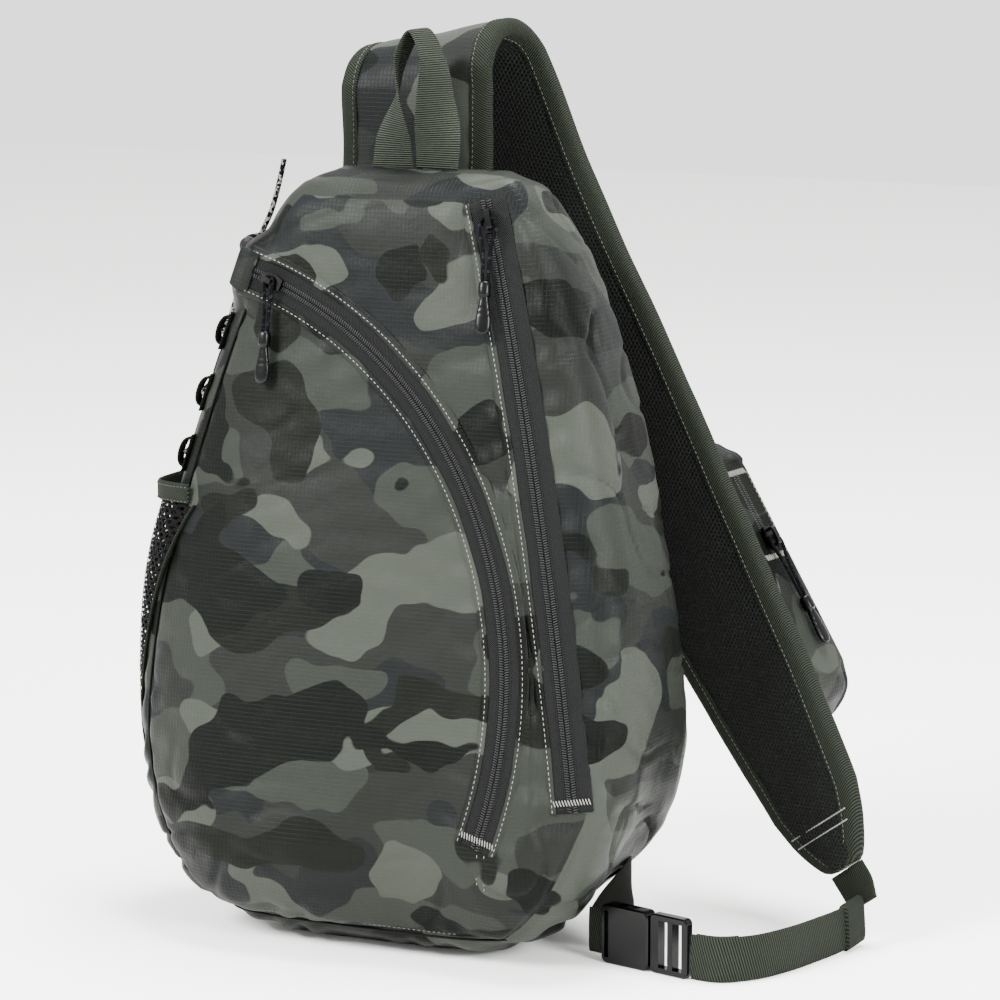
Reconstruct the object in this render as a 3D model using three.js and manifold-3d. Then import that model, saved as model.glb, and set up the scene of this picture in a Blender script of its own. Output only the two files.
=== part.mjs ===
// Sling bag: teardrop body with two curved zips, padded shoulder strap with its own pocket,
// webbing with a side-release buckle, mesh bottle pocket and laced bungee cord.
// Millimetres. +Z up, the front faces -Y, +X is to the right seen from the front.
// Origin: middle of the flat base, on the floor.
import * as THREE from 'three';
import { mergeVertices } from 'three/addons/utils/BufferGeometryUtils.js';
import Module from 'manifold-3d';

const wasm = await Module();
wasm.setup();

// ---- driving dimensions ----
const GAP = 0.3;
const WALL = 2.4;
const WEBBING_WIDTH = 25;
const WEBBING_THICKNESS = 1.6;

// Body sections, bottom to top: height, half width, front and back. The front leans back as it rises.
const LEAN = 0.19;
const FRONT_FOOT_Y = -88;
const FRONT_FOOT_Z = 60;
const leaning = (z) => FRONT_FOOT_Y + LEAN * (z - FRONT_FOOT_Z);
const BODY_SECTIONS = [
  { z: 0, half: 66, front: -44, back: 38 },
  { z: 8, half: 84, front: -64, back: 48 },
  { z: 20, half: 101, front: -76, back: 54 },
  { z: 38, half: 118, front: -84, back: 58 },
  { z: 60, half: 132, front: leaning(60), back: 60 },
  { z: 92, half: 144, front: leaning(92), back: 60 },
  { z: 125, half: 148.5, front: leaning(125), back: 60 },
  { z: 186, half: 145, front: leaning(186), back: 60 },
  { z: 231, half: 136, front: leaning(231), back: 60 },
  { z: 270, half: 126, front: leaning(270), back: 60 },
  { z: 309, half: 115, front: leaning(309), back: 59 },
  { z: 342, half: 104, front: leaning(342), back: 57 },
  { z: 375, half: 91, front: leaning(375), back: 53 },
  { z: 398, half: 78, front: leaning(398), back: 47 },
  { z: 412, half: 66, front: -15, back: 40 },
  { z: 420, half: 50, front: 0, back: 28 },
];
const BODY_HEIGHT = 420;
const CORNER_POWER = 4.5;
const RING_POINTS = 36;
const BODY_LEVELS = [0, 8, 20, 38, 60, 92, 125, 186, 231, 270, 309, 342, 375, 398, 412, 420];

// Panel seams
const FRONT_SEAM_INSET = 12;
const FRONT_SEAM_BOTTOM = 14;
const FRONT_SEAM_TOP = 407;
const BASE_SEAM_Z = 40;
const BACK_SEAM_Y = 44;
const BACK_PAD = { low: [-200, 49, 44], high: [200, 56, 380] };
const DIVIDER = { width: 196, height: 340, thickness: 1.2, behind: 22, along: 113, up: 52 };

// Cutting blocks and prisms reach this far past the body
const BEYOND = 200;
const ABOVE = 450;

// Zips: each runs on a circle, so its slider turns about the circle's centre
const TAPE_HALF = 9;
const COIL_HALF = 2.3;
const SLOT_HALF = TAPE_HALF + GAP;
const SLOT_REACH = 18;
const FRONT_ARC_RADIUS = 240;
const FRONT_ARC_CENTRE = new THREE.Vector3(-153, leaning(139), 139);
const FRONT_ARC_END = -17;
const FRONT_ARC_START = 74.5;
const FRONT_SLIDER_ANGLE = 70;
const MAIN_ZIP_TOP = new THREE.Vector3(50, -15.5, 409);
const MAIN_ZIP_MIDDLE = new THREE.Vector3(96, -48.5, 250);
const MAIN_ZIP_BOTTOM = new THREE.Vector3(127, -71, 92);
const MAIN_SLIDER_INSET = 12;

// Shoulder strap: it rises behind the handle, folds over a slanted line and comes down to the right
const STRAP_X = -25;
const STRAP_FRONT_Y = 55;
const FOLD_Z = 461;
const FOLD_RADIUS = 23;
const FOLD_SLANT = 11.5;
const FOLD_HALF = 45.5;
const STRAP_RISE = [
  { at: [STRAP_X, 53, 405], across: [1, 0, 0], half: 45 },
  { at: [STRAP_X, STRAP_FRONT_Y, 430], across: [1, 0, 0], half: 45 },
];
const STRAP_DESCENT = [
  { at: [22, 104, 388], across: [0.88, -0.06, 0.45], half: 46 },
  { at: [76, 99, 292], across: [0.86, -0.12, 0.5], half: 45 },
  { at: [130, 92, 197], across: [0.85, -0.2, 0.48], half: 43 },
  { at: [172, 84, 131], across: [0.81, -0.28, 0.5], half: 40 },
  { at: [209, 74, 74], across: [0.79, -0.32, 0.52], half: 33 },
  { at: [230, 67, 41], across: [0.79, -0.32, 0.52], half: 18 },
];
const STRAP_STEPS = 56;
const BINDING_WIDTH = 4;
const FOAM_HALF = 3;
const COVER_THICKNESS = 1.4;

// Pocket on the strap's outer face
const STRAP_POCKET_Z = 172;
const STRAP_POCKET_HALF_LENGTH = 86;
const STRAP_POCKET_HALF_WIDTH = 35;
const STRAP_POCKET_CORNER = 28;
const STRAP_POCKET_DEPTH = 34;
const STRAP_ZIP_FROM = -58;
const STRAP_ZIP_TO = -6;

// Sliders and pulls
const SLIDER_LENGTH = 14;
const SLIDER_WIDTH = 8.6;
const PLATE_BOTTOM = 1.6;
const PLATE_TOP = 4;
const BRIDGE_HALF = 5.4;
const BRIDGE_TOP = 8.4;
const BRIDGE_INSIDE = 7;
const BRIDGE_WIDTH = 3;
const POST_RADIUS = 1;
const LOOP_RADIUS = 2.4;
const PULL_CORD_RADIUS = 1.1;
const GRIP_LENGTH = 28;
const FRONT_PULL_LENGTH = 28;
const MAIN_PULL_LENGTH = 34;
const STRAP_PULL_LENGTH = 38;
const STRAP_SLIDER_INSET = 10;

// Webbing and buckle
const WEBBING_CENTRE_Z = 12.8;
const BUCKLE_START = new THREE.Vector3(127, -27, 16.5);
const BUCKLE_DIRECTION = new THREE.Vector3(0.966, -0.257, 0);
const BUCKLE_WIDTH = 33;
const BUCKLE_THICKNESS = 9;
const FEMALE_LENGTH = 32;
const MALE_START = FEMALE_LENGTH + GAP;
const MALE_LENGTH = 25;
const PRONG_START = 9;
const PRONG_THICKNESS = 4.2;
const STUB_LENGTH = 11;
const WING_PATH = [[139, 22, 44], [133, 2, 32]];
const WING_HALF = 20;

const X = new THREE.Vector3(1, 0, 0);
const Y = new THREE.Vector3(0, 1, 0);
const Z = new THREE.Vector3(0, 0, 1);
const degrees = THREE.MathUtils.degToRad;

// ---- materials ----
const material = (color, roughness, metalness = 0) =>
  new THREE.MeshStandardMaterial({ color, roughness, metalness });
const camoFabric = material('#6c7369', 0.62);
const darkFabric = material('#32372f', 0.75);
const spacerMesh = material('#121312', 0.9);
const bindingTape = material('#454c40', 0.85);
const webbing = material('#4b5246', 0.8);
const zipTape = material('#36373a', 0.85);
const zipCoil = material('#242528', 0.5);
const moulded = material('#15161a', 0.35);
const blackCord = material('#1a1b22', 0.8);
const speckledCord = material('#4a4a4a', 0.85);
const foam = material('#b9b9b2', 0.95);
const steel = material('#9a9c9e', 0.3, 0.9);

const bag = new THREE.Group();
bag.name = 'sling_bag';

function addPart(name, geometry, partMaterial, basis) {
  const mesh = new THREE.Mesh(geometry, partMaterial);
  mesh.name = name;
  if (basis) {
    mesh.position.setFromMatrixPosition(basis);
    mesh.quaternion.setFromRotationMatrix(basis);
  }
  bag.add(mesh);
  return mesh;
}

// ---- solids ----
function solidOf(geometry) {
  const bare = geometry.clone();
  bare.deleteAttribute('normal');
  bare.deleteAttribute('uv');
  const merged = mergeVertices(bare, 1e-4);
  return new wasm.Manifold(new wasm.Mesh({
    numProp: 3,
    vertProperties: new Float32Array(merged.attributes.position.array),
    triVerts: new Uint32Array(merged.index.array),
  }));
}

function geometryOf(solid) {
  const mesh = solid.getMesh();
  const geometry = new THREE.BufferGeometry();
  geometry.setAttribute('position', new THREE.BufferAttribute(mesh.vertProperties, 3));
  geometry.setIndex(new THREE.BufferAttribute(mesh.triVerts, 1));
  geometry.computeVertexNormals();
  return geometry;
}

const cut = (solid, ...tools) => tools.reduce((left, tool) => left.subtract(tool), solid);

function block(low, high) {
  const size = high.map((value, axis) => value - low[axis]);
  const geometry = new THREE.BoxGeometry(...size);
  geometry.translate(...low.map((value, axis) => value + size[axis] / 2));
  return solidOf(geometry);
}

const basisOf = (x, y, z, origin) => new THREE.Matrix4().makeBasis(x, y, z).setPosition(origin);

// Closed solid through rings with the same number of points, capped by a fan at each end. The second
// half of a ring has its diagonals the other way, so that both faces of a flat band bend alike.
function loft(rings) {
  const count = rings[0].length;
  const positions = rings.flat().flatMap((point) => point.toArray());
  const indices = [];
  for (let level = 0; level < rings.length - 1; level += 1) {
    for (let i = 0; i < count; i += 1) {
      const a = level * count + i;
      const b = level * count + ((i + 1) % count);
      if (i < count / 2) {
        indices.push(a, b, b + count, a, b + count, a + count);
      } else {
        indices.push(a, b, a + count, b, b + count, a + count);
      }
    }
  }
  [0, rings.length - 1].forEach((level) => {
    const centre = new THREE.Vector3();
    rings[level].forEach((point) => centre.addScaledVector(point, 1 / count));
    const hub = positions.length / 3;
    positions.push(...centre.toArray());
    for (let i = 0; i < count; i += 1) {
      const a = level * count + i;
      const b = level * count + ((i + 1) % count);
      indices.push(...(level === 0 ? [hub, b, a] : [hub, a, b]));
    }
  });
  const geometry = new THREE.BufferGeometry();
  geometry.setAttribute('position', new THREE.Float32BufferAttribute(positions, 3));
  geometry.setIndex(indices);
  geometry.computeVertexNormals();
  return geometry;
}

// Flat band carried along frames: across from a0 to a1, thickness from t0 to t1 along out.
// Each limit is a number or a function of the station from 0 to 1.
function ribbon(frames, a0, a1, t0, t1) {
  const value = (limit, s) => (typeof limit === 'function' ? limit(s) : limit);
  const mirrored = frames[0].across.clone().cross(frames[0].out).dot(frames[0].tangent) < 0;
  return loft(frames.map((frame, i) => {
    const s = i / (frames.length - 1);
    const corner = (a, t) => frame.at.clone()
      .addScaledVector(frame.across, value(a, s)).addScaledVector(frame.out, value(t, s));
    const ring = [corner(a0, t0), corner(a1, t0), corner(a1, t1), corner(a0, t1)];
    return mirrored ? ring.reverse() : ring;
  }));
}

// Frames along a smooth line through stations, each with its place and the direction across it
function framesThrough(stations, steps) {
  const places = stations.map((station) => new THREE.Vector3(...station.at));
  const line = new THREE.CatmullRomCurve3(places, false, 'centripetal');
  const last = stations.length - 1;
  const frames = [];
  for (let i = 0; i <= steps; i += 1) {
    const t = i / steps;
    const place = Math.min(t * last, last - 1e-9);
    const station = Math.floor(place);
    const tangent = line.getTangent(t);
    const across = new THREE.Vector3(...stations[station].across)
      .lerp(new THREE.Vector3(...stations[station + 1].across), place - station);
    across.addScaledVector(tangent, -across.dot(tangent)).normalize();
    frames.push({ at: line.getPoint(t), tangent, across, out: across.clone().cross(tangent) });
  }
  return frames;
}

// Value that runs through the stations' named value
function alongStations(stations, key) {
  const last = stations.length - 1;
  return (s) => {
    const place = Math.min(s * last, last - 1e-9);
    const i = Math.floor(place);
    return THREE.MathUtils.lerp(stations[i][key], stations[i + 1][key], place - i);
  };
}

function tube(points, radius, steps, sides = 8) {
  const path = new THREE.CatmullRomCurve3(points, false, 'centripetal');
  const section = new THREE.Shape();
  section.absarc(0, 0, radius, 0, 2 * Math.PI);
  const options = { extrudePath: path, steps, curveSegments: sides / 2 };
  return new THREE.ExtrudeGeometry(section, options);
}

// ---- body shape ----
// Cubic curve through the body sections, so that half, front and back change smoothly with height
function bodyValue(key, z) {
  const last = BODY_SECTIONS.length - 1;
  const above = BODY_SECTIONS.findIndex((section) => section.z >= z);
  const i = Math.max(0, (above < 0 ? last : above) - 1);
  const slope = (k) => {
    const a = BODY_SECTIONS[Math.max(k - 1, 0)];
    const b = BODY_SECTIONS[Math.min(k + 1, last)];
    return (b[key] - a[key]) / (b.z - a.z);
  };
  const from = BODY_SECTIONS[i];
  const to = BODY_SECTIONS[i + 1];
  const span = to.z - from.z;
  const t = (z - from.z) / span;
  const rise = t * t * (3 - 2 * t);
  return from[key] * (1 - rise) + to[key] * rise
    + span * (slope(i) * t * (1 - t) ** 2 - slope(i + 1) * t * t * (1 - t));
}

function bodyRing(z, inset) {
  const half = bodyValue('half', z) - inset;
  const middle = (bodyValue('front', z) + bodyValue('back', z)) / 2;
  const depth = (bodyValue('back', z) - bodyValue('front', z)) / 2 - inset;
  const ring = [];
  const soften = (v) => Math.sign(v) * Math.abs(v) ** (2 / CORNER_POWER);
  for (let i = 0; i < RING_POINTS; i += 1) {
    const angle = (2 * Math.PI * i) / RING_POINTS;
    const y = middle + depth * soften(Math.sin(angle));
    ring.push(new THREE.Vector3(half * soften(Math.cos(angle)), y, z));
  }
  return ring;
}

function bodySolid(inset) {
  const low = inset;
  const high = BODY_HEIGHT - inset;
  const inside = BODY_LEVELS.filter((z) => z > low + 1 && z < high - 1);
  return solidOf(loft([low, ...inside, high].map((z) => bodyRing(z, inset))));
}

// Side surface of the body at a depth and height, on the side given by sign
function sideX(y, z, sign) {
  const half = bodyValue('half', z);
  const middle = (bodyValue('front', z) + bodyValue('back', z)) / 2;
  const depth = (bodyValue('back', z) - bodyValue('front', z)) / 2;
  const share = Math.min(Math.abs((y - middle) / depth), 0.999);
  return sign * half * (1 - share ** CORNER_POWER) ** (1 / CORNER_POWER);
}

// ---- zip lines ----
// A circle in space: centre, first and second direction in its plane, and the tilt that turns the
// tape's outer face from the circle's axis towards its radius.
function arcFrames(circle, fromDegrees, toDegrees, steps) {
  const frames = [];
  for (let i = 0; i <= steps; i += 1) {
    const angle = degrees(THREE.MathUtils.lerp(fromDegrees, toDegrees, i / steps));
    const radial = circle.u.clone().multiplyScalar(Math.cos(angle))
      .addScaledVector(circle.v, Math.sin(angle));
    const tangent = circle.axis.clone().cross(radial);
    const out = circle.axis.clone().multiplyScalar(circle.outAxis)
      .addScaledVector(radial, circle.outRadial);
    const at = circle.centre.clone().addScaledVector(radial, circle.radius);
    frames.push({ at, tangent, out, across: tangent.clone().cross(out).negate() });
  }
  return frames;
}

// The same frames with one more beyond each end
function lengthened(frames, distance) {
  const beyond = (frame, reach) => (
    { ...frame, at: frame.at.clone().addScaledVector(frame.tangent, reach) });
  const last = frames[frames.length - 1];
  const forwards = Math.sign(last.at.clone().sub(frames[0].at).dot(frames[0].tangent));
  return [beyond(frames[0], -distance * forwards), ...frames, beyond(last, distance * forwards)];
}

function frontCircle() {
  const v = new THREE.Vector3(0, LEAN, 1).normalize();
  return {
    centre: FRONT_ARC_CENTRE, radius: FRONT_ARC_RADIUS, u: X.clone(), v, axis: X.clone().cross(v),
    outAxis: 1, outRadial: 0,
  };
}

// Circle through the main zip's top, middle and bottom
function mainCircle() {
  const a = MAIN_ZIP_BOTTOM.clone().sub(MAIN_ZIP_TOP);
  const b = MAIN_ZIP_MIDDLE.clone().sub(MAIN_ZIP_TOP);
  const normal = a.clone().cross(b);
  const toCentre = b.clone().multiplyScalar(a.lengthSq()).sub(a.clone().multiplyScalar(b.lengthSq()))
    .cross(normal).divideScalar(2 * normal.lengthSq());
  const centre = MAIN_ZIP_TOP.clone().add(toCentre);
  const axis = normal.normalize();
  const u = MAIN_ZIP_MIDDLE.clone().sub(centre).normalize();
  const v = axis.clone().cross(u);
  const angleOf = (point) => {
    const arm = point.clone().sub(centre);
    return THREE.MathUtils.radToDeg(Math.atan2(arm.dot(v), arm.dot(u)));
  };
  const face = new THREE.Vector3(0.3, -1, LEAN).normalize();
  const outAxis = face.dot(axis);
  const outRadial = face.dot(u);
  const size = Math.hypot(outAxis, outRadial);
  return {
    centre, radius: toCentre.length(), u, v, axis, outAxis: outAxis / size, outRadial: outRadial / size,
    top: angleOf(MAIN_ZIP_TOP), bottom: angleOf(MAIN_ZIP_BOTTOM),
  };
}

const frontArc = frontCircle();
const mainArc = mainCircle();
const frontZipFrames = arcFrames(frontArc, FRONT_ARC_END, FRONT_ARC_START, 26);
const mainZipFrames = arcFrames(mainArc, mainArc.bottom, mainArc.top, 12);

function addZip(prefix, frames) {
  addPart(`${prefix}_zip_tape_inner`, ribbon(frames, -TAPE_HALF, -COIL_HALF - GAP, -0.6, 0.5), zipTape);
  addPart(`${prefix}_zip_tape_outer`, ribbon(frames, COIL_HALF + GAP, TAPE_HALF, -0.6, 0.5), zipTape);
  addPart(`${prefix}_zip_coil`, ribbon(frames, -COIL_HALF, COIL_HALF, -1.2, 1.2), zipCoil);
}

// ---- body panels ----
const mainZipX = (z) => {
  const top = mainZipFrames.findIndex((frame) => frame.at.z >= z);
  const b = mainZipFrames[Math.max(top, 1)];
  const a = mainZipFrames[Math.max(top, 1) - 1];
  return THREE.MathUtils.lerp(a.at.x, b.at.x, (z - a.at.z) / (b.at.z - a.at.z));
};

// Upright prism from an outline of [x, z] pairs, between two depths
function uprightPrism(outline, nearY, farY) {
  const shape = new THREE.Shape(outline.map(([x, z]) => new THREE.Vector2(x, z)));
  const geometry = new THREE.ExtrudeGeometry(shape, { depth: farY - nearY, bevelEnabled: false });
  geometry.applyMatrix4(basisOf(X, Z, Y.clone().negate(), new THREE.Vector3(0, farY, 0)));
  return solidOf(geometry);
}

function frontRegion(margin) {
  const heights = [20, 38, 60, 92, 125, 186, 231, 270, 309, 342, 375, FRONT_SEAM_TOP + margin];
  const left = heights.map((z) => [-(bodyValue('half', z) - FRONT_SEAM_INSET + margin), z]);
  const right = heights.map((z) => [z < 92
    ? bodyValue('half', z) - FRONT_SEAM_INSET + margin
    : mainZipX(Math.min(z, 405)) + COIL_HALF, z]);
  const footHalf = bodyValue('half', FRONT_SEAM_BOTTOM) - FRONT_SEAM_INSET + margin;
  const foot = FRONT_SEAM_BOTTOM - margin;
  return uprightPrism([[-footHalf, foot], [footHalf, foot], ...right, ...left.reverse()], -BEYOND, 0);
}

// Area inside the front zip: its arc, then straight down to below the base
function pocketRegion(radius, seamShift) {
  const shape = new THREE.Shape();
  const start = degrees(FRONT_ARC_START + 4);
  const end = degrees(FRONT_ARC_END);
  const edge = -60;
  shape.absarc(0, 0, radius, start, end, true);
  shape.lineTo(radius * Math.cos(end) + seamShift, -BEYOND);
  shape.lineTo(edge, -BEYOND);
  shape.lineTo(edge, radius * Math.sin(start));
  const geometry = new THREE.ExtrudeGeometry(shape, { depth: 160, bevelEnabled: false, curveSegments: 24 });
  const origin = frontArc.centre.clone().addScaledVector(frontArc.axis, -100);
  geometry.applyMatrix4(basisOf(frontArc.u, frontArc.v, frontArc.axis, origin));
  return solidOf(geometry);
}

function addBodyPanels() {
  const shell = bodySolid(0).subtract(bodySolid(WALL));
  const slotThrough = (frames) => {
    const longer = lengthened(frames, GAP);
    return solidOf(ribbon(longer, -SLOT_HALF, SLOT_HALF, -SLOT_REACH, SLOT_REACH));
  };
  const frontSlot = slotThrough(frontZipFrames);
  const mainSlot = slotThrough(mainZipFrames);
  const face = cut(shell.intersect(frontRegion(0)), frontSlot, mainSlot);
  const rest = cut(shell, frontRegion(GAP), mainSlot, frontSlot);
  const beforeBack = BACK_SEAM_Y - GAP;
  const overBase = BASE_SEAM_Z + GAP;
  const leftSide = block([-BEYOND, -BEYOND, overBase], [-GAP / 2, beforeBack, ABOVE]);
  const rightSide = block([GAP / 2, -BEYOND, overBase], [BEYOND, beforeBack, ABOVE]);
  const base = block([-BEYOND, -BEYOND, -5], [BEYOND, BEYOND, BASE_SEAM_Z]);
  const back = block([-BEYOND, BACK_SEAM_Y, overBase], [BEYOND, BEYOND, ABOVE]);
  const pocketFace = face.intersect(pocketRegion(FRONT_ARC_RADIUS, -GAP / 2));
  const outerFace = face.subtract(pocketRegion(FRONT_ARC_RADIUS, GAP / 2));
  addPart('front_pocket_panel', geometryOf(pocketFace), camoFabric);
  addPart('front_panel', geometryOf(outerFace), camoFabric);
  addPart('left_gusset', geometryOf(rest.intersect(leftSide)), camoFabric);
  addPart('right_gusset', geometryOf(rest.intersect(rightSide)), camoFabric);
  addPart('bottom_panel', geometryOf(rest.intersect(base)), camoFabric);
  addPart('back_panel', geometryOf(rest.intersect(back)), darkFabric);
}

// Pads and walls inside the body
function addBodyInside() {
  const cavity = bodySolid(WALL + 2 * GAP);
  const backPad = cavity.intersect(block(BACK_PAD.low, BACK_PAD.high));
  addPart('back_pad_foam', geometryOf(backPad), foam);
  const wall = new THREE.BoxGeometry(DIVIDER.width, DIVIDER.height, DIVIDER.thickness);
  const origin = frontArc.centre.clone().addScaledVector(frontArc.axis, -DIVIDER.behind)
    .addScaledVector(frontArc.u, DIVIDER.along).addScaledVector(frontArc.v, DIVIDER.up);
  wall.applyMatrix4(basisOf(frontArc.u, frontArc.v, frontArc.axis, origin));
  addPart('pocket_divider', geometryOf(cavity.intersect(solidOf(wall))), darkFabric);
}

// ---- sliders, pull cords and grips ----
// With `swivel`, the bridge is open at the tail and a round post holds the pull, which turns about it
function sliderGeometry(swivel) {
  const plate = new THREE.Shape();
  const nose = SLIDER_LENGTH / 2;
  const side = SLIDER_WIDTH / 2;
  const tail = side * 0.7;
  const shoulder = -nose * 0.3;
  plate.moveTo(-nose, -tail);
  plate.lineTo(shoulder, -side);
  plate.quadraticCurveTo(nose, -side, nose, 0);
  plate.quadraticCurveTo(nose, side, shoulder, side);
  plate.lineTo(-nose, tail);
  const plateGeometry = new THREE.ExtrudeGeometry(plate, {
    depth: PLATE_TOP - PLATE_BOTTOM, bevelEnabled: false, curveSegments: 5,
  });
  plateGeometry.translate(0, 0, PLATE_BOTTOM);
  const bridge = new THREE.Shape();
  const foot = PLATE_TOP - 0.5;
  const inside = BRIDGE_HALF - 1.6;
  bridge.moveTo(-BRIDGE_HALF, foot);
  bridge.lineTo(-BRIDGE_HALF, BRIDGE_INSIDE);
  bridge.quadraticCurveTo(-BRIDGE_HALF, BRIDGE_TOP, 0, BRIDGE_TOP);
  bridge.quadraticCurveTo(BRIDGE_HALF, BRIDGE_TOP, BRIDGE_HALF, BRIDGE_INSIDE);
  bridge.lineTo(BRIDGE_HALF, foot);
  bridge.lineTo(inside, foot);
  bridge.lineTo(inside, BRIDGE_INSIDE);
  bridge.lineTo(-inside, BRIDGE_INSIDE);
  bridge.lineTo(-inside, foot);
  const bridgeGeometry = new THREE.ExtrudeGeometry(bridge, {
    depth: BRIDGE_WIDTH, bevelEnabled: false, curveSegments: 5,
  });
  bridgeGeometry.rotateX(Math.PI / 2);
  bridgeGeometry.translate(0, BRIDGE_WIDTH / 2, 0);
  const whole = solidOf(plateGeometry).add(solidOf(bridgeGeometry));
  if (!swivel) {
    return geometryOf(whole);
  }
  const tailFoot = block([-BRIDGE_HALF - 1, -BRIDGE_WIDTH, PLATE_TOP],
    [-LOOP_RADIUS, BRIDGE_WIDTH, BRIDGE_TOP + 1]);
  const post = new THREE.CylinderGeometry(POST_RADIUS, POST_RADIUS, BRIDGE_INSIDE - PLATE_TOP + 1, 12);
  post.rotateX(Math.PI / 2);
  post.translate(0, 0, (PLATE_TOP + BRIDGE_INSIDE) / 2);
  return geometryOf(whole.subtract(tailFoot).add(solidOf(post)));
}

// Loop of cord: x to the side, y downwards along the pull, z out from the surface
function pullCordGeometry(length, swivel) {
  const level = (PLATE_TOP + BRIDGE_INSIDE) / 2;
  const legs = 1.5;
  const round = [180, 210, 240, 270, 300, 330, 360].map((angle) => {
    const turn = THREE.MathUtils.degToRad(angle);
    return [LOOP_RADIUS * Math.cos(turn), LOOP_RADIUS * Math.sin(turn), level];
  });
  const aroundPost = [[-legs, length, 5], [-legs, 14, 5.2], [-2.2, 6, level], ...round, [2.2, 6, level],
    [legs, 14, 5.2], [legs, length, 5]];
  const through = [[-legs, length, 5], [-2.4, 14, 5.2], [-4.6, 4, level], [-3, 0, level], [0, -0.4, level],
    [3, 0, level], [4.6, 4, level], [2.4, 14, 5.2], [legs, length, 5]];
  const route = swivel ? aroundPost : through;
  return tube(route.map((point) => new THREE.Vector3(...point)), PULL_CORD_RADIUS, swivel ? 36 : 20);
}

// Moulded grip: a round collar, then a flat paddle with a rounded end
function gripGeometry() {
  const sections = [
    [0, 2.9, 2.9], [7, 3.1, 3.1], [8, 2.5, 2.2], [12, 3, 2], [20, 4, 1.9], [GRIP_LENGTH - 3, 3.8, 1.7],
    [GRIP_LENGTH - 0.8, 2.6, 1.3], [GRIP_LENGTH, 1.2, 0.8],
  ];
  return loft(sections.map(([down, half, thick]) => {
    const ring = [];
    for (let i = 0; i < 12; i += 1) {
      const angle = (-2 * Math.PI * i) / 12;
      ring.push(new THREE.Vector3(half * Math.cos(angle), down, 5 + thick * Math.sin(angle)));
    }
    return ring;
  }));
}

// Slider on a zip frame, with its cord and grip hanging along `down`
function addSlider(prefix, frame, down, cordLength, swivel) {
  addPart(`${prefix}_zip_slider`, sliderGeometry(swivel), moulded,
    basisOf(frame.tangent, frame.out.clone().cross(frame.tangent), frame.out, frame.at));
  const along = down.clone().addScaledVector(frame.out, -down.dot(frame.out)).normalize();
  const side = along.clone().cross(frame.out);
  const basis = basisOf(side, along, frame.out, frame.at);
  addPart(`${prefix}_pull_cord`, pullCordGeometry(cordLength, swivel), blackCord, basis);
  const gripBasis = basis.clone();
  gripBasis.setPosition(frame.at.clone().addScaledVector(along, cordLength + GAP));
  addPart(`${prefix}_pull_grip`, gripGeometry(), moulded, gripBasis);
}

// ---- grab handle ----
function addGrabHandle() {
  const stations = [
    { at: [-21.5, 17, 421], across: [1, 0, 0] },
    { at: [-21.5, 18, 436], across: [0.97, -0.25, 0] },
    { at: [-19.5, 19, 458], across: [0.5, -0.85, 0] },
    { at: [-17, 20, 482], across: [0.1, -0.98, 0] },
    { at: [-8, 21, 496], across: [0, -1, 0] },
    { at: [1, 20, 482], across: [-0.1, -0.98, 0] },
    { at: [3.5, 19, 458], across: [-0.5, -0.85, 0] },
    { at: [5.5, 18, 436], across: [-0.97, -0.25, 0] },
    { at: [5.5, 17, 421], across: [-1, 0, 0] },
  ];
  const half = WEBBING_WIDTH / 2;
  const thin = WEBBING_THICKNESS / 2;
  addPart('grab_handle', ribbon(framesThrough(stations, 40), -half, half, -thin, thin), webbing);
}

// ---- shoulder strap ----
// The fold is a helix on a cylinder whose axis slants, so that the flat strap bends without creasing
function foldStations() {
  const slant = degrees(FOLD_SLANT);
  const axis = new THREE.Vector3(Math.cos(slant), 0, Math.sin(slant));
  const up = new THREE.Vector3(-Math.sin(slant), 0, Math.cos(slant));
  const front = Y.clone().negate();
  const stations = [];
  for (let turn = 0; turn <= 180; turn += 30) {
    const angle = degrees(turn);
    const radial = front.clone().multiplyScalar(Math.cos(angle))
      .addScaledVector(up, Math.sin(angle));
    const round = front.clone().multiplyScalar(-Math.sin(angle))
      .addScaledVector(up, Math.cos(angle));
    const at = new THREE.Vector3(STRAP_X, STRAP_FRONT_Y + FOLD_RADIUS, FOLD_Z)
      .addScaledVector(radial, FOLD_RADIUS)
      .addScaledVector(axis, FOLD_RADIUS * angle * Math.tan(slant));
    const across = axis.clone().multiplyScalar(Math.cos(slant))
      .addScaledVector(round, -Math.sin(slant));
    stations.push({ at: at.toArray(), across: across.toArray(), half: FOLD_HALF });
  }
  return stations;
}

const strapStations = [...STRAP_RISE, ...foldStations(), ...STRAP_DESCENT];
const strapFrames = framesThrough(strapStations, STRAP_STEPS);
const strapHalf = alongStations(strapStations, 'half');

function addShoulderStrap() {
  const inner = (s) => -strapHalf(s) + BINDING_WIDTH + 2 * GAP;
  const outer = (s) => strapHalf(s) - BINDING_WIDTH - 2 * GAP;
  const top = FOAM_HALF + GAP + COVER_THICKNESS;
  const layer = (t0, t1) => ribbon(strapFrames, inner, outer, t0, t1);
  const edge = top + 2 * GAP;
  const left = ribbon(strapFrames, (s) => -strapHalf(s), (s) => inner(s) - 2 * GAP, -edge, edge);
  const right = ribbon(strapFrames, (s) => outer(s) + 2 * GAP, strapHalf, -edge, edge);
  addPart('strap_foam', layer(-FOAM_HALF, FOAM_HALF), foam);
  addPart('strap_cover', layer(FOAM_HALF + GAP, top), camoFabric);
  addPart('strap_mesh_lining', layer(-top - 2 * GAP, -FOAM_HALF - 3 * GAP), spacerMesh);
  addPart('strap_binding_left', left, bindingTape);
  addPart('strap_binding_right', right, bindingTape);
}

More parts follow.
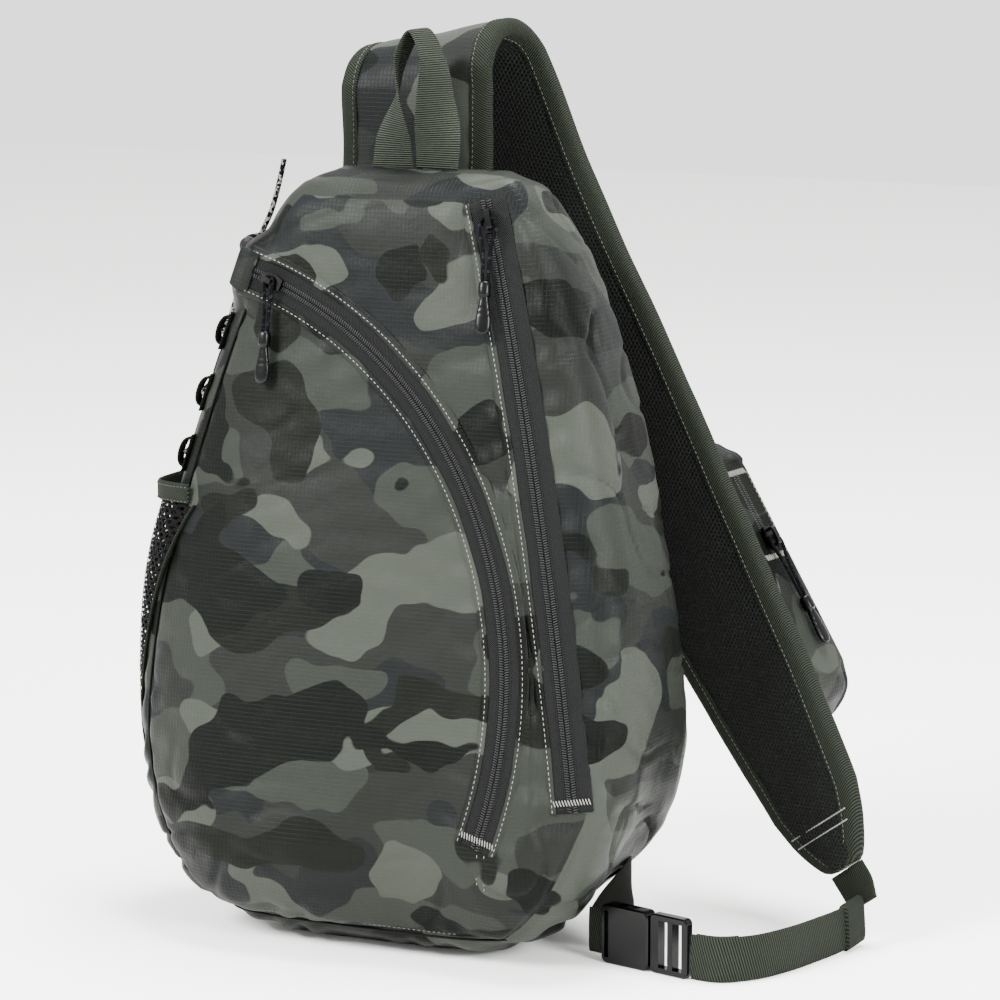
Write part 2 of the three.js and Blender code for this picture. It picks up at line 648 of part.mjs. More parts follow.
// Grosgrain tab sewn into the strap's lower end, which the webbing ends in
function addStrapEndTab() {
  const end = strapFrames[strapFrames.length - 1];
  const top = end.at.clone().addScaledVector(end.tangent, 4 * GAP);
  const stations = [
    { at: top.toArray(), across: end.across.toArray() },
    { at: [237, 66, 31], across: [0.65, -0.3, 0.7] },
    { at: [242, 63.5, 22], across: [0.35, -0.25, 0.85] },
  ];
  addPart('strap_end_tab', ribbon(framesThrough(stations, 8), -13.5, 13.5, -1.6, 1.6), bindingTape);
}

// ---- pocket on the strap ----
function roundedOutline(halfLength, halfWidth, corner) {
  const shape = new THREE.Shape();
  shape.absarc(halfLength - corner, halfWidth - corner, corner, 0, Math.PI / 2);
  shape.absarc(-halfLength + corner, halfWidth - corner, corner, Math.PI / 2, Math.PI);
  shape.absarc(-halfLength + corner, -halfWidth + corner, corner, Math.PI, 1.5 * Math.PI);
  shape.absarc(halfLength - corner, -halfWidth + corner, corner, 1.5 * Math.PI, 2 * Math.PI);
  return shape;
}

function strapPocketSolid(inset) {
  const bevel = 7;
  const outline = roundedOutline(STRAP_POCKET_HALF_LENGTH - bevel - inset,
    STRAP_POCKET_HALF_WIDTH - bevel - inset, STRAP_POCKET_CORNER - bevel);
  const geometry = new THREE.ExtrudeGeometry(outline, {
    depth: STRAP_POCKET_DEPTH - 2 * bevel - 2 * inset, bevelEnabled: true, bevelThickness: bevel,
    bevelSize: bevel, bevelSegments: 2, curveSegments: 4,
  });
  geometry.translate(0, 0, bevel + inset);
  return solidOf(geometry);
}

function addStrapPocket() {
  const frame = strapFrames.findLast(({ at }) => at.z >= STRAP_POCKET_Z);
  const lift = FOAM_HALF + 2 * GAP + COVER_THICKNESS + 2.2;
  const origin = frame.at.clone().addScaledVector(frame.out, lift);
  const side = frame.out.clone().cross(frame.tangent);
  const basis = basisOf(frame.tangent, side, frame.out, origin);
  const slotLow = STRAP_POCKET_DEPTH / 2 - SLOT_HALF;
  const slotHigh = STRAP_POCKET_DEPTH / 2 + SLOT_HALF;
  const wallY = -STRAP_POCKET_HALF_WIDTH;
  const slotFrom = STRAP_ZIP_FROM - GAP;
  const slotTo = STRAP_ZIP_TO + GAP;
  const slot = block([slotFrom, wallY - 5, slotLow], [slotTo, wallY + 12, slotHigh]);
  const shell = cut(strapPocketSolid(0), strapPocketSolid(WALL), slot);
  addPart('strap_pocket', geometryOf(shell), camoFabric, basis);
  const toWorld = (x, y, z) => new THREE.Vector3(x, y, z).applyMatrix4(basis);
  const zipOut = side.clone().negate();
  const zipFrame = (x) => ({
    at: toWorld(x, wallY + 1.4, STRAP_POCKET_DEPTH / 2), tangent: frame.tangent.clone(), out: zipOut,
    across: frame.out.clone(),
  });
  const zipMiddle = (STRAP_ZIP_FROM + STRAP_ZIP_TO) / 2;
  addZip('strap', [zipFrame(STRAP_ZIP_FROM), zipFrame(zipMiddle), zipFrame(STRAP_ZIP_TO)]);
  addSlider('strap', zipFrame(STRAP_ZIP_TO - STRAP_SLIDER_INSET), frame.tangent, STRAP_PULL_LENGTH, false);
}

// ---- webbing, wing and buckle ----
function webbingFrames() {
  const buckleEnd = BUCKLE_START.clone().addScaledVector(BUCKLE_DIRECTION, MALE_START + MALE_LENGTH + 1);
  const path = [
    [buckleEnd.x, buckleEnd.y, WEBBING_CENTRE_Z], [199, -42, WEBBING_CENTRE_Z], [214, -30, WEBBING_CENTRE_Z],
    [225, -8, WEBBING_CENTRE_Z], [232, 16, WEBBING_CENTRE_Z], [238, 38, WEBBING_CENTRE_Z + 0.6],
    [242, 58, WEBBING_CENTRE_Z + 3],
  ];
  return framesThrough(path.map((at) => ({ at, across: [0, 0, 1] })), 40);
}

function addLowerWebbing() {
  const half = WEBBING_WIDTH / 2;
  const thin = WEBBING_THICKNESS / 2;
  const frames = webbingFrames();
  addPart('lower_webbing', ribbon(frames, -half, half, -thin, thin), webbing);
  const tail = frames.slice(1, 11);
  const inner = thin + GAP;
  addPart('webbing_tail', ribbon(tail, -half, half, inner, inner + WEBBING_THICKNESS), webbing);
}

// Local frame of the buckle: x along it, y across it (upwards), z out of its face
function buckleBasis() {
  const out = BUCKLE_DIRECTION.clone().cross(Z);
  return basisOf(BUCKLE_DIRECTION.clone().normalize(), Z, out.normalize(), BUCKLE_START);
}

function roundedPlate(x0, x1, halfWidth, thickness, corner) {
  const length = x1 - x0;
  const geometry = new THREE.ExtrudeGeometry(roundedOutline(length / 2, halfWidth, corner), {
    depth: thickness - 1.6, bevelEnabled: true, bevelThickness: 0.8, bevelSize: 0.8, bevelOffset: -0.8,
    bevelSegments: 1, curveSegments: 3,
  });
  geometry.translate((x0 + x1) / 2, 0, -thickness / 2 + 0.8);
  return solidOf(geometry);
}

function addBuckle() {
  const basis = buckleBasis();
  const half = BUCKLE_WIDTH / 2;
  const sleeve = cut(roundedPlate(0, FEMALE_LENGTH, half, BUCKLE_THICKNESS, 4),
    block([8, -half + 3, -2.6], [FEMALE_LENGTH + 1, half - 3, 2.6]),
    block([10, -half - 1, -2.6], [22, half + 1, 2.6]),
    block([2.6, -13, -10], [5.4, 13, 10]));
  addPart('buckle_sleeve', geometryOf(sleeve), moulded, basis);
  const maleEnd = MALE_START + MALE_LENGTH;
  const frame = cut(roundedPlate(MALE_START, maleEnd, half, 6, 3),
    block([MALE_START + 6, -13, -10], [MALE_START + 12, 13, 10]),
    block([MALE_START + 15.5, -13, -10], [maleEnd - 3.4, 13, 10]));
  const tongue = block([10, -2.2, -2], [MALE_START + 1, 2.2, 2]);
  addPart('buckle_plug', geometryOf(frame.add(tongue)), moulded, basis);
  const prong = new THREE.Shape();
  prong.moveTo(PRONG_START + 3, half - 3.6);
  prong.quadraticCurveTo(PRONG_START + 2, half - 0.2, PRONG_START + 7, half - 0.2);
  prong.lineTo(21.2, half - 0.6);
  prong.lineTo(21.4, half - 3.8);
  prong.lineTo(MALE_START - GAP, half - 4.6);
  prong.lineTo(MALE_START - GAP, half - 7.6);
  prong.lineTo(PRONG_START + 6, half - 7);
  const options = { depth: PRONG_THICKNESS, bevelEnabled: false, curveSegments: 4 };
  const prongGeometry = new THREE.ExtrudeGeometry(prong, options);
  prongGeometry.translate(0, 0, -PRONG_THICKNESS / 2);
  addPart('buckle_prong_upper', prongGeometry, moulded, basis);
  const lower = prongGeometry.clone();
  lower.rotateX(Math.PI);
  addPart('buckle_prong_lower', lower, moulded, basis);
}

// Fabric wing from the body's rear lower corner, and the short webbing that holds the buckle sleeve
function addWing() {
  const stubZ = WEBBING_CENTRE_Z + 3;
  const alongBuckle = (x) => BUCKLE_START.clone().addScaledVector(BUCKLE_DIRECTION, x).setZ(stubZ);
  const stubStart = alongBuckle(-STUB_LENGTH);
  const stubEnd = alongBuckle(-GAP);
  const upright = (points) => points.map((at) => ({ at, across: [0, 0, 1] }));
  const half = WEBBING_WIDTH / 2;
  const thin = WEBBING_THICKNESS / 2;
  const stub = framesThrough(upright([stubStart.toArray(), stubEnd.toArray()]), 2);
  addPart('buckle_webbing', ribbon(stub, -half, half, -thin, thin), webbing);
  const tip = [stubStart.x + 3, stubStart.y + 7, stubZ];
  const wing = framesThrough(upright([...WING_PATH, tip]), 6);
  const wingHalf = (s) => THREE.MathUtils.lerp(WING_HALF, WEBBING_WIDTH / 2, s);
  addPart('side_wing', ribbon(wing, (s) => -wingHalf(s), wingHalf, -0.8, 0.8), darkFabric);
}

// ---- mesh bottle pocket ----
const POCKET_LOW = 64;
const POCKET_HIGH = 236;
const POCKET_FRONT_Y = -48;
const POCKET_BACK_Y = 40;
const POCKET_BULGE = 13;
const POCKET_SHEET = 1.2;

// Sheet over the left side: v runs up, u from front to back. It bulges most at the middle of its mouth.
function bottlePocketPoint(u, v, lift) {
  const z = THREE.MathUtils.lerp(POCKET_LOW, POCKET_HIGH, v);
  const y = THREE.MathUtils.lerp(POCKET_FRONT_Y, POCKET_BACK_Y, u);
  const rise = Math.min(v * 1.6, 1);
  const bulge = POCKET_BULGE * Math.sin(Math.PI * u) ** 0.7 * Math.sin(0.5 * Math.PI * rise);
  return new THREE.Vector3(sideX(y, z, -1) - 0.6 - bulge - lift, y, z);
}

// Closed sheet over a grid: pointAt(i, j, side) gives its back (0) and face (1), wound to face outwards
function sheet(columns, rows, pointAt) {
  const positions = [];
  const index = (i, j, side) => (j * (columns + 1) + i) * 2 + side;
  for (let j = 0; j <= rows; j += 1) {
    for (let i = 0; i <= columns; i += 1) {
      positions.push(...pointAt(i, j, 0).toArray(), ...pointAt(i, j, 1).toArray());
    }
  }
  const indices = [];
  const quad = (a, b, c, d) => indices.push(a, b, c, a, c, d);
  for (let j = 0; j < rows; j += 1) {
    for (let i = 0; i < columns; i += 1) {
      quad(index(i, j, 0), index(i + 1, j, 0), index(i + 1, j + 1, 0), index(i, j + 1, 0));
      indices.push(index(i, j, 1), index(i + 1, j + 1, 1), index(i + 1, j, 1));
      indices.push(index(i, j, 1), index(i, j + 1, 1), index(i + 1, j + 1, 1));
    }
    quad(index(0, j, 1), index(0, j, 0), index(0, j + 1, 0), index(0, j + 1, 1));
    quad(index(columns, j, 0), index(columns, j, 1), index(columns, j + 1, 1), index(columns, j + 1, 0));
  }
  for (let i = 0; i < columns; i += 1) {
    quad(index(i, 0, 0), index(i, 0, 1), index(i + 1, 0, 1), index(i + 1, 0, 0));
    quad(index(i, rows, 1), index(i, rows, 0), index(i + 1, rows, 0), index(i + 1, rows, 1));
  }
  const geometry = new THREE.BufferGeometry();
  geometry.setAttribute('position', new THREE.Float32BufferAttribute(positions, 3));
  geometry.setIndex(indices);
  geometry.computeVertexNormals();
  return geometry;
}

function addBottlePocket() {
  const rows = 8;
  const columns = 12;
  const pointAt = (i, j, side) => bottlePocketPoint(i / columns, j / rows, side * POCKET_SHEET);
  addPart('bottle_pocket_mesh', sheet(columns, rows, pointAt), spacerMesh);
  const mouth = [];
  for (let i = 0; i <= columns; i += 1) {
    const middle = bottlePocketPoint(i / columns, 1, 2.4);
    mouth.push(middle.setZ(POCKET_HIGH + 6));
  }
  const frames = mouth.map((at, i) => {
    const next = mouth[Math.min(i + 1, columns)];
    const before = mouth[Math.max(i - 1, 0)];
    const tangent = next.clone().sub(before).normalize();
    return { at, tangent, across: Z, out: tangent.clone().cross(Z).negate() };
  });
  addPart('bottle_pocket_binding', ribbon(frames, -5.5, 5.5, -1.2, 1.2), bindingTape);
}

// ---- bungee cord, its tabs and cord lock ----
const CORD_RADIUS = 1.5;
const CORD_LIFT = 5.6;
const TAB_FOOT = 2;
const TAB_TOP = 8.8;
const TAB_HALF = 10.5;
const TAB_THICKNESS = 1.1;
const TAB_DEPTH = 6;
const LACING = [
  { y: -30, z: 262 }, { y: 30, z: 278 }, { y: -26, z: 296 }, { y: 28, z: 312 }, { y: -20, z: 330 },
];
const LOCK_Y = 4;
const LOCK_Z = 376;
const LOCK_LIFT = 9;
const LOCK_RADIUS = 6.2;
const TAIL_Z = 424;

const onLeftSide = (y, z, lift) => new THREE.Vector3(sideX(y, z, -1) - lift, y, z);
const lockCentre = onLeftSide(LOCK_Y, LOCK_Z, LOCK_LIFT);
const cordUp = onLeftSide(LOCK_Y, LOCK_Z + 16, LOCK_LIFT)
  .sub(onLeftSide(LOCK_Y, LOCK_Z - 16, LOCK_LIFT)).normalize();

function addBungee() {
  const turns = LACING.map(({ y, z }) => onLeftSide(y, z, CORD_LIFT));
  const lockRun = [-22, -11, 0, 11, 22].map((shift) => lockCentre.clone().addScaledVector(cordUp, shift));
  const overLock = lockRun[lockRun.length - 1];
  const tail = overLock.clone().add(new THREE.Vector3(6, -1, TAIL_Z - 30 - LOCK_Z));
  const end = new THREE.Vector3(tail.x + 3, tail.y - 1, TAIL_Z);
  const path = [...turns, onLeftSide(-6, 334, CORD_LIFT + 1), ...lockRun, tail, end];
  addPart('bungee_cord', tube(path, CORD_RADIUS, 60), speckledCord);
}

// Small webbing loop sewn to the side, which the cord runs through from front to back
function addCordTabs() {
  const arch = (half, top) => {
    const from = new THREE.Vector2(-half, top - 3);
    const corner = new THREE.Vector2(-half, top);
    const to = new THREE.Vector2(-half + 4, top);
    const bend = new THREE.QuadraticBezierCurve(from, corner, to).getPoints(3);
    const side = [[-half, TAB_FOOT], ...bend.map((point) => point.toArray())];
    return [...side, ...side.map(([x, y]) => [-x, y]).reverse()];
  };
  const inside = arch(TAB_HALF - TAB_THICKNESS, TAB_TOP - TAB_THICKNESS);
  const outline = [...arch(TAB_HALF, TAB_TOP), ...inside.reverse()];
  LACING.forEach(({ y, z }, i) => {
    const up = onLeftSide(y, z + TAB_HALF, 0).sub(onLeftSide(y, z - TAB_HALF, 0)).normalize();
    const outward = up.clone().cross(Y);
    const shape = new THREE.Shape(outline.map(([along, height]) => new THREE.Vector2(along, height)));
    const geometry = new THREE.ExtrudeGeometry(shape, { depth: TAB_DEPTH, bevelEnabled: false });
    geometry.translate(0, 0, -TAB_DEPTH / 2);
    const basis = basisOf(up, outward, up.clone().cross(outward), onLeftSide(y, z, 0));
    addPart(`cord_tab_${i + 1}`, geometry, webbing, basis);
  });
}

// Barrel lock: its axis lies front to back, the cord runs through it crosswise
function addCordLock() {
  const axis = new THREE.Vector3(0, -1, 0);
  const across = axis.clone().cross(cordUp).normalize();
  const basis = basisOf(cordUp, across, axis, lockCentre);
  const turned = (profile, segments) => {
    const points = profile.map(([radius, along]) => new THREE.Vector2(radius, along));
    return solidOf(new THREE.LatheGeometry(points, segments).rotateX(Math.PI / 2));
  };
  const barrel = turned([[0, -12], [5, -12], [LOCK_RADIUS, -10.4], [LOCK_RADIUS, 5], [4.6, 5], [4.6, -10],
    [0, -10]], 18);
  const holeRadius = CORD_RADIUS + 0.5;
  const cordHole = new THREE.CylinderGeometry(holeRadius, holeRadius, 40, 10).rotateZ(Math.PI / 2);
  addPart('cord_lock_barrel', geometryOf(barrel.subtract(solidOf(cordHole))), moulded, basis);
  const plunger = turned([[0, -3.6], [4.2, -3.6], [4.2, 8.4], [5.4, 9.2], [5, 11.4], [3, 12.6], [0, 13]], 16);
  const slot = block([-20, -holeRadius, -holeRadius], [20, holeRadius, CORD_RADIUS + 3.6]);
  addPart('cord_lock_plunger', geometryOf(plunger.subtract(slot)), moulded, basis);
  // The spring stands at its pressed length, the plunger's travel short of the plunger
  const coils = 4;
  const wire = 0.35;
  const springLow = -9.6;
  const springHigh = -6.3;
  const stepsPerTurn = 8;
  const turns = [];
  for (let i = 0; i <= coils * stepsPerTurn; i += 1) {
    const turn = i / stepsPerTurn;
    const angle = 2 * Math.PI * turn;
    const rise = THREE.MathUtils.lerp(springLow + wire, springHigh - wire, turn / coils);
    turns.push(new THREE.Vector3(3 * Math.cos(angle), 3 * Math.sin(angle), rise));
  }
  addPart('cord_lock_spring', tube(turns, wire, coils * stepsPerTurn, 6), steel, basis);
}

// ---- assembly ----
addBodyPanels();
addBodyInside();
addZip('front', frontZipFrames);
addZip('main', mainZipFrames);
const down = Z.clone().negate();
const frameAt = (circle, angle) => arcFrames(circle, angle, angle, 1)[0];
const mainSliderAngle = mainArc.top + Math.sign(mainArc.bottom - mainArc.top)
  * THREE.MathUtils.radToDeg(MAIN_SLIDER_INSET / mainArc.radius);
addSlider('front', frameAt(frontArc, FRONT_SLIDER_ANGLE), down, FRONT_PULL_LENGTH, true);
addSlider('main', frameAt(mainArc, mainSliderAngle), down, MAIN_PULL_LENGTH, false);
addGrabHandle();
addShoulderStrap();
addStrapEndTab();
addStrapPocket();
addLowerWebbing();
addBuckle();
addWing();
addBottlePocket();
addBungee();
addCordTabs();
addCordLock();

export default bag;
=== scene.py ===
"""Looks of the sling bag: camouflage ripstop body, two curved zips, padded strap with a pocket,
ribbed webbing, side-release buckle, mesh bottle pocket and a laced cord. Shapes are worked out in
millimetres and stored in metres."""

import math

import bpy
import numpy as np
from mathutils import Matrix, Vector


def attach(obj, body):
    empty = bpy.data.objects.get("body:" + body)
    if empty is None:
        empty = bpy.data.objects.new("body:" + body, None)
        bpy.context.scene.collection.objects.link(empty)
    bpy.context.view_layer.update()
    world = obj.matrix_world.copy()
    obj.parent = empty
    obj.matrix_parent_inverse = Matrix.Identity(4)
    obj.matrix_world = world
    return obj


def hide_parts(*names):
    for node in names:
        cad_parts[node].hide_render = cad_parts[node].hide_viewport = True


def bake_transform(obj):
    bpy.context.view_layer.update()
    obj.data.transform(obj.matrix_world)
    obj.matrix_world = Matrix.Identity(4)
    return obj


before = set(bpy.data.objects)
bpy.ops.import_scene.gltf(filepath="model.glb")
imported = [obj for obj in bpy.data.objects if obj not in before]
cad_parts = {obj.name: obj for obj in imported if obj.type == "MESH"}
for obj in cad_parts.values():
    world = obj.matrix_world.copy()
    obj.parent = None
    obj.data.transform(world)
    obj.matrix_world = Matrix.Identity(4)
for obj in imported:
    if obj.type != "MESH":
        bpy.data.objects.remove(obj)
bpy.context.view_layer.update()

MM = 0.001
LEAN = 0.19
TAPE_HALF = 9.0


# ---- vectors and noise ----
def unit(v):
    """Each vector divided by its length."""
    return v / np.maximum(np.linalg.norm(v, axis=-1, keepdims=True), 1e-9)


def smooth(x, low, high):
    """0 below low, 1 above high, and t*t*(3-2t) between."""
    t = np.clip((x - low) / (high - low), 0, 1)
    return t * t * (3 - 2 * t)


def ripple(p, wavelength, seed, waves=14):
    """Mean of cosines in random directions, with lengths from 0.7 to 1.6 wavelengths: a soft bumpy field."""
    r = np.random.default_rng(seed)
    k = unit(r.normal(size=(waves, 3))) * (2 * np.pi / (wavelength * r.uniform(0.7, 1.6, (waves, 1))))
    phase = r.uniform(0, 2 * np.pi, waves)
    return np.cos(p @ k.T + phase).sum(-1) / math.sqrt(waves)


# ---- meshes ----
def mesh_object(name, points, quads, tris, material, uv=None):
    """Object from points in millimetres and arrays of quads and triangles; uv is one row per corner."""
    mesh = bpy.data.meshes.new(name)
    quads = np.asarray(quads, np.int64).reshape(-1, 4)
    tris = np.asarray(tris, np.int64).reshape(-1, 3)
    corners = np.concatenate([quads.ravel(), tris.ravel()])
    sizes = np.concatenate([np.full(len(quads), 4), np.full(len(tris), 3)])
    mesh.vertices.add(len(points))
    mesh.vertices.foreach_set("co", (np.asarray(points, float) * MM).astype(np.float32).ravel())
    mesh.loops.add(len(corners))
    mesh.loops.foreach_set("vertex_index", corners.astype(np.int32))
    mesh.polygons.add(len(sizes))
    mesh.polygons.foreach_set("loop_start", (np.cumsum(sizes) - sizes).astype(np.int32))
    mesh.polygons.foreach_set("use_smooth", np.ones(len(sizes), bool))
    mesh.update(calc_edges=True)
    if uv is not None:
        layer = mesh.uv_layers.new(name="UVMap")
        layer.data.foreach_set("uv", (np.asarray(uv, float) * MM).astype(np.float32).ravel())
    mesh.validate()
    mesh.materials.append(material)
    obj = bpy.data.objects.new(name, mesh)
    bpy.context.scene.collection.objects.link(obj)
    return obj


def grid_object(name, points, material, uv, around=True, caps="none"):
    """Surface over a grid of rows and columns. With around, the last column joins the first. Caps close the
    first and last row: a fan round the row's mean, or a ladder across a thin loop."""
    rows, columns = points.shape[:2]
    across = columns if around else columns - 1
    i, j = np.meshgrid(np.arange(rows - 1), np.arange(across), indexing="ij")
    k = (j + 1) % columns
    quads = np.stack([i * columns + j, i * columns + k, (i + 1) * columns + k, (i + 1) * columns + j], -1)
    corner = np.stack([uv[i, j], uv[i, j + 1], uv[i + 1, j + 1], uv[i + 1, j]], -2)
    flat = points.reshape(-1, 3)
    quads, corner = quads.reshape(-1, 4), corner.reshape(-1, 2)
    tris = np.zeros((0, 3), int)
    last = (rows - 1) * columns
    if caps == "fan":
        ring = np.arange(columns)
        ahead = (ring + 1) % columns
        flat = np.concatenate([flat, points[0].mean(0)[None], points[-1].mean(0)[None]])
        low = np.stack([np.full(columns, len(flat) - 2), ahead, ring], -1)
        high = np.stack([np.full(columns, len(flat) - 1), last + ring, last + ahead], -1)
        tris = np.concatenate([low, high])
        middle = (uv[0].mean(0), uv[-1].mean(0))
        rim = np.stack([np.broadcast_to(middle[0], (columns, 2)), uv[0, ring + 1], uv[0, ring]], 1)
        crown = np.stack([np.broadcast_to(middle[1], (columns, 2)), uv[-1, ring], uv[-1, ring + 1]], 1)
        corner = np.concatenate([corner, rim.reshape(-1, 2), crown.reshape(-1, 2)])
    if caps == "ladder":
        ring = np.arange(columns // 2 - 1)
        other = columns - 1 - ring
        low = np.stack([ring + 1, ring, other, other - 1], -1)
        high = np.stack([ring, ring + 1, other - 1, other], -1) + last
        quads = np.concatenate([quads, low, high])
        flat_uv = uv[:, :columns]
        ends = [flat_uv[0][low].reshape(-1, 2), flat_uv[-1][high - last].reshape(-1, 2)]
        corner = np.concatenate([corner, *ends])
    return mesh_object(name, flat, quads, tris, material, corner)


def face_outwards(obj):
    """Turns every face over if the mesh's signed volume, the sum of a.(b x c)/6 over its triangles, is negative."""
    mesh = obj.data
    mesh.calc_loop_triangles()
    co = np.empty(3 * len(mesh.vertices), np.float32)
    mesh.vertices.foreach_get("co", co)
    tri = np.empty(3 * len(mesh.loop_triangles), np.int32)
    mesh.loop_triangles.foreach_get("vertices", tri)
    a, b, c = co.reshape(-1, 3).astype(float)[tri.reshape(-1, 3).T]
    if np.einsum("ij,ij->i", a, np.cross(b, c)).sum() < 0:
        mesh.flip_normals()


def placed(obj, body, *nodes, slot):
    """The piece faces outwards, rides on the body and stands for the nodes."""
    face_outwards(obj)
    if body:
        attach(obj, body)
    if nodes:
        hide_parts(*nodes)
    return obj


# ---- lines ----
def catmull(places, t):
    """Centripetal Catmull-Rom line through the places; t runs from 0 to 1 with equal steps per span."""
    p = np.asarray(places, float)
    p = np.concatenate([[2 * p[0] - p[1]], p, [2 * p[-1] - p[-2]]])
    spans = len(p) - 3
    x = np.clip(np.asarray(t, float) * spans, 0, spans - 1e-9)
    i = x.astype(int)
    w = (x - i)[:, None]
    a, b, c, d = p[i], p[i + 1], p[i + 2], p[i + 3]
    step = np.maximum(np.linalg.norm(np.diff(p, axis=0), axis=1) ** 0.5, 1e-4)
    e, f, g = step[i][:, None], step[i + 1][:, None], step[i + 2][:, None]
    m = ((b - a) / e - (c - a) / (e + f) + (c - b) / f) * f
    n = ((c - b) / f - (d - b) / (f + g) + (d - c) / g) * f
    return b + m * w + (3 * (c - b) - 2 * m - n) * w**2 + (2 * (b - c) + m + n) * w**3


def tangents(p):
    """Unit direction along a line of points."""
    return unit(np.gradient(p, axis=0))


def lengths(p):
    """Distance along a line of points from its start."""
    return np.concatenate([[0], np.cumsum(np.linalg.norm(np.diff(p, axis=0), axis=1))])


def along(values, t):
    """Values run through in equal steps as t goes from 0 to 1."""
    values = np.asarray(values, float)
    x = np.clip(np.asarray(t, float) * (len(values) - 1), 0, len(values) - 1 - 1e-9)
    i = x.astype(int)
    w = x - i
    w = w[:, None] if values.ndim > 1 else w
    return values[i] * (1 - w) + values[i + 1] * w


def frames_through(places, across, steps):
    """Points, directions, across vectors made square to the direction, and out = across x direction."""
    t = np.linspace(0, 1, steps + 1)
    at = catmull(places, t)
    go = tangents(at)
    side = along(across, t)
    side = unit(side - (side * go).sum(-1, keepdims=True) * go)
    return at, go, side, np.cross(side, go)


def resampled(at, vectors, pitch):
    """Evenly spaced points on the line, and the vectors there."""
    s = lengths(at)
    count = max(int(s[-1] / pitch), 1)
    want = (np.arange(count) + 0.5) * s[-1] / count
    pick = [np.stack([np.interp(want, s, v[:, k]) for k in range(3)], -1) for v in (at, *vectors)]
    return pick[0], [unit(v) for v in pick[1:]]


def loop_along(name, at, side, out, a, t, material, caps="ladder"):
    """Closed loop of (a, t) pairs carried along a line: a runs across and t out. a and t may change by row.
    The texture runs along the line and across it."""
    side, out = np.broadcast_to(side, at.shape), np.broadcast_to(out, at.shape)
    a = np.broadcast_to(a, (len(at), a.shape[-1]))
    t = np.broadcast_to(t, (len(at), t.shape[-1]))
    points = at[:, None] + a[..., None] * side[:, None] + t[..., None] * out[:, None]
    s = np.broadcast_to(lengths(at)[:, None], a.shape)
    uv = np.stack([s, a], -1)
    uv = np.concatenate([uv, uv[:, :1]], 1)
    return grid_object(name, points, material, uv, caps=caps)


def band(name, at, side, out, half, thick, material, lift=0.0, columns=40):
    """Flat woven band with rounded edges: each section is a superellipse, a power 9 across and 2.2 out."""
    angle = (np.arange(columns) + 0.5) / columns * 2 * np.pi
    c, s = np.cos(angle), np.sin(angle)
    a = np.sign(c) * np.abs(c) ** (2 / 5)
    t = np.sign(s) * np.abs(s) ** (2 / 2.6)
    half = np.broadcast_to(np.asarray(half, float), len(at))[:, None]
    return loop_along(name, at, side, out, half * a, lift + thick / 2 * t[None] + 0 * half, material)


def tube(name, at, radius, material, sides=14):
    """Round cord along a line. Its texture runs along it and round it."""
    go = tangents(at)
    side = np.zeros_like(go)
    side[0] = unit(np.cross(go[0], [0.31, 0.2, 0.93]))
    for i in range(1, len(go)):
        side[i] = unit(side[i - 1] - (side[i - 1] @ go[i]) * go[i])
    up = np.cross(go, side)
    angle = np.arange(sides) / sides * 2 * np.pi
    ring = np.cos(angle)[None, :, None] * side[:, None] + np.sin(angle)[None, :, None] * up[:, None]
    radius = np.broadcast_to(np.asarray(radius, float), len(at))[:, None, None]
    points = at[:, None] + ring * radius
    girth = np.arange(sides + 1) / sides * 2 * np.pi * float(radius.max())
    s, turn = np.meshgrid(lengths(at), girth, indexing="ij")
    return grid_object(name, points, material, np.stack([s, turn], -1), caps="fan")


def grains(name, at, go, side, out, length, width, height, material, sides=6):
    """Many small rounded grains, one at each place: a ring of sides points at four stations along each."""
    x = np.array([-0.5, -0.32, 0.32, 0.5])
    r = np.array([0.35, 1.0, 1.0, 0.35])
    angle = np.arange(sides) / sides * 2 * np.pi
    px = np.repeat(x, sides) * length
    py = (r[:, None] * np.cos(angle)).ravel() * width / 2
    pz = (r[:, None] * np.sin(angle)).ravel() * height
    go, side, out = (np.broadcast_to(v, at.shape)[:, None] for v in (go, side, out))
    points = at[:, None] + px[None, :, None] * go + py[None, :, None] * side + pz[None, :, None] * out
    i, j = np.meshgrid(np.arange(3), np.arange(sides), indexing="ij")
    k = (j + 1) % sides
    quads = np.stack([i * sides + j, i * sides + k, (i + 1) * sides + k, (i + 1) * sides + j], -1).reshape(-1, 4)
    ring = np.arange(1, sides - 1)
    low = np.stack([0 * ring, ring + 1, ring], -1)
    high = np.stack([0 * ring, ring, ring + 1], -1) + 3 * sides
    shift = (np.arange(len(at)) * 4 * sides)[:, None, None]
    tris = np.concatenate([low, high])[None] + shift
    return mesh_object(name, points.reshape(-1, 3), quads[None] + shift, tris, material)


def stitches(name, at, out, material, pitch=2.9, length=1.7, width=0.42, height=0.25, lift=0.05):
    """Row of thread stitches lying on a line; each is turned a little at random."""
    p, (go, up) = resampled(at, (tangents(at), out), pitch)
    side = unit(np.cross(up, go))
    r = np.random.default_rng(len(p))
    go = unit(go + side * r.uniform(-0.05, 0.05, (len(p), 1)))
    return grains(name, p + lift * up, go, side, up, length, width, height, material)


# ---- shader building ----
def fill(tree, socket, value):
    """Links another node's output into the socket, or sets the socket's value."""
    if isinstance(value, bpy.types.NodeSocket):
        tree.links.new(value, socket)
    else:
        socket.default_value = value


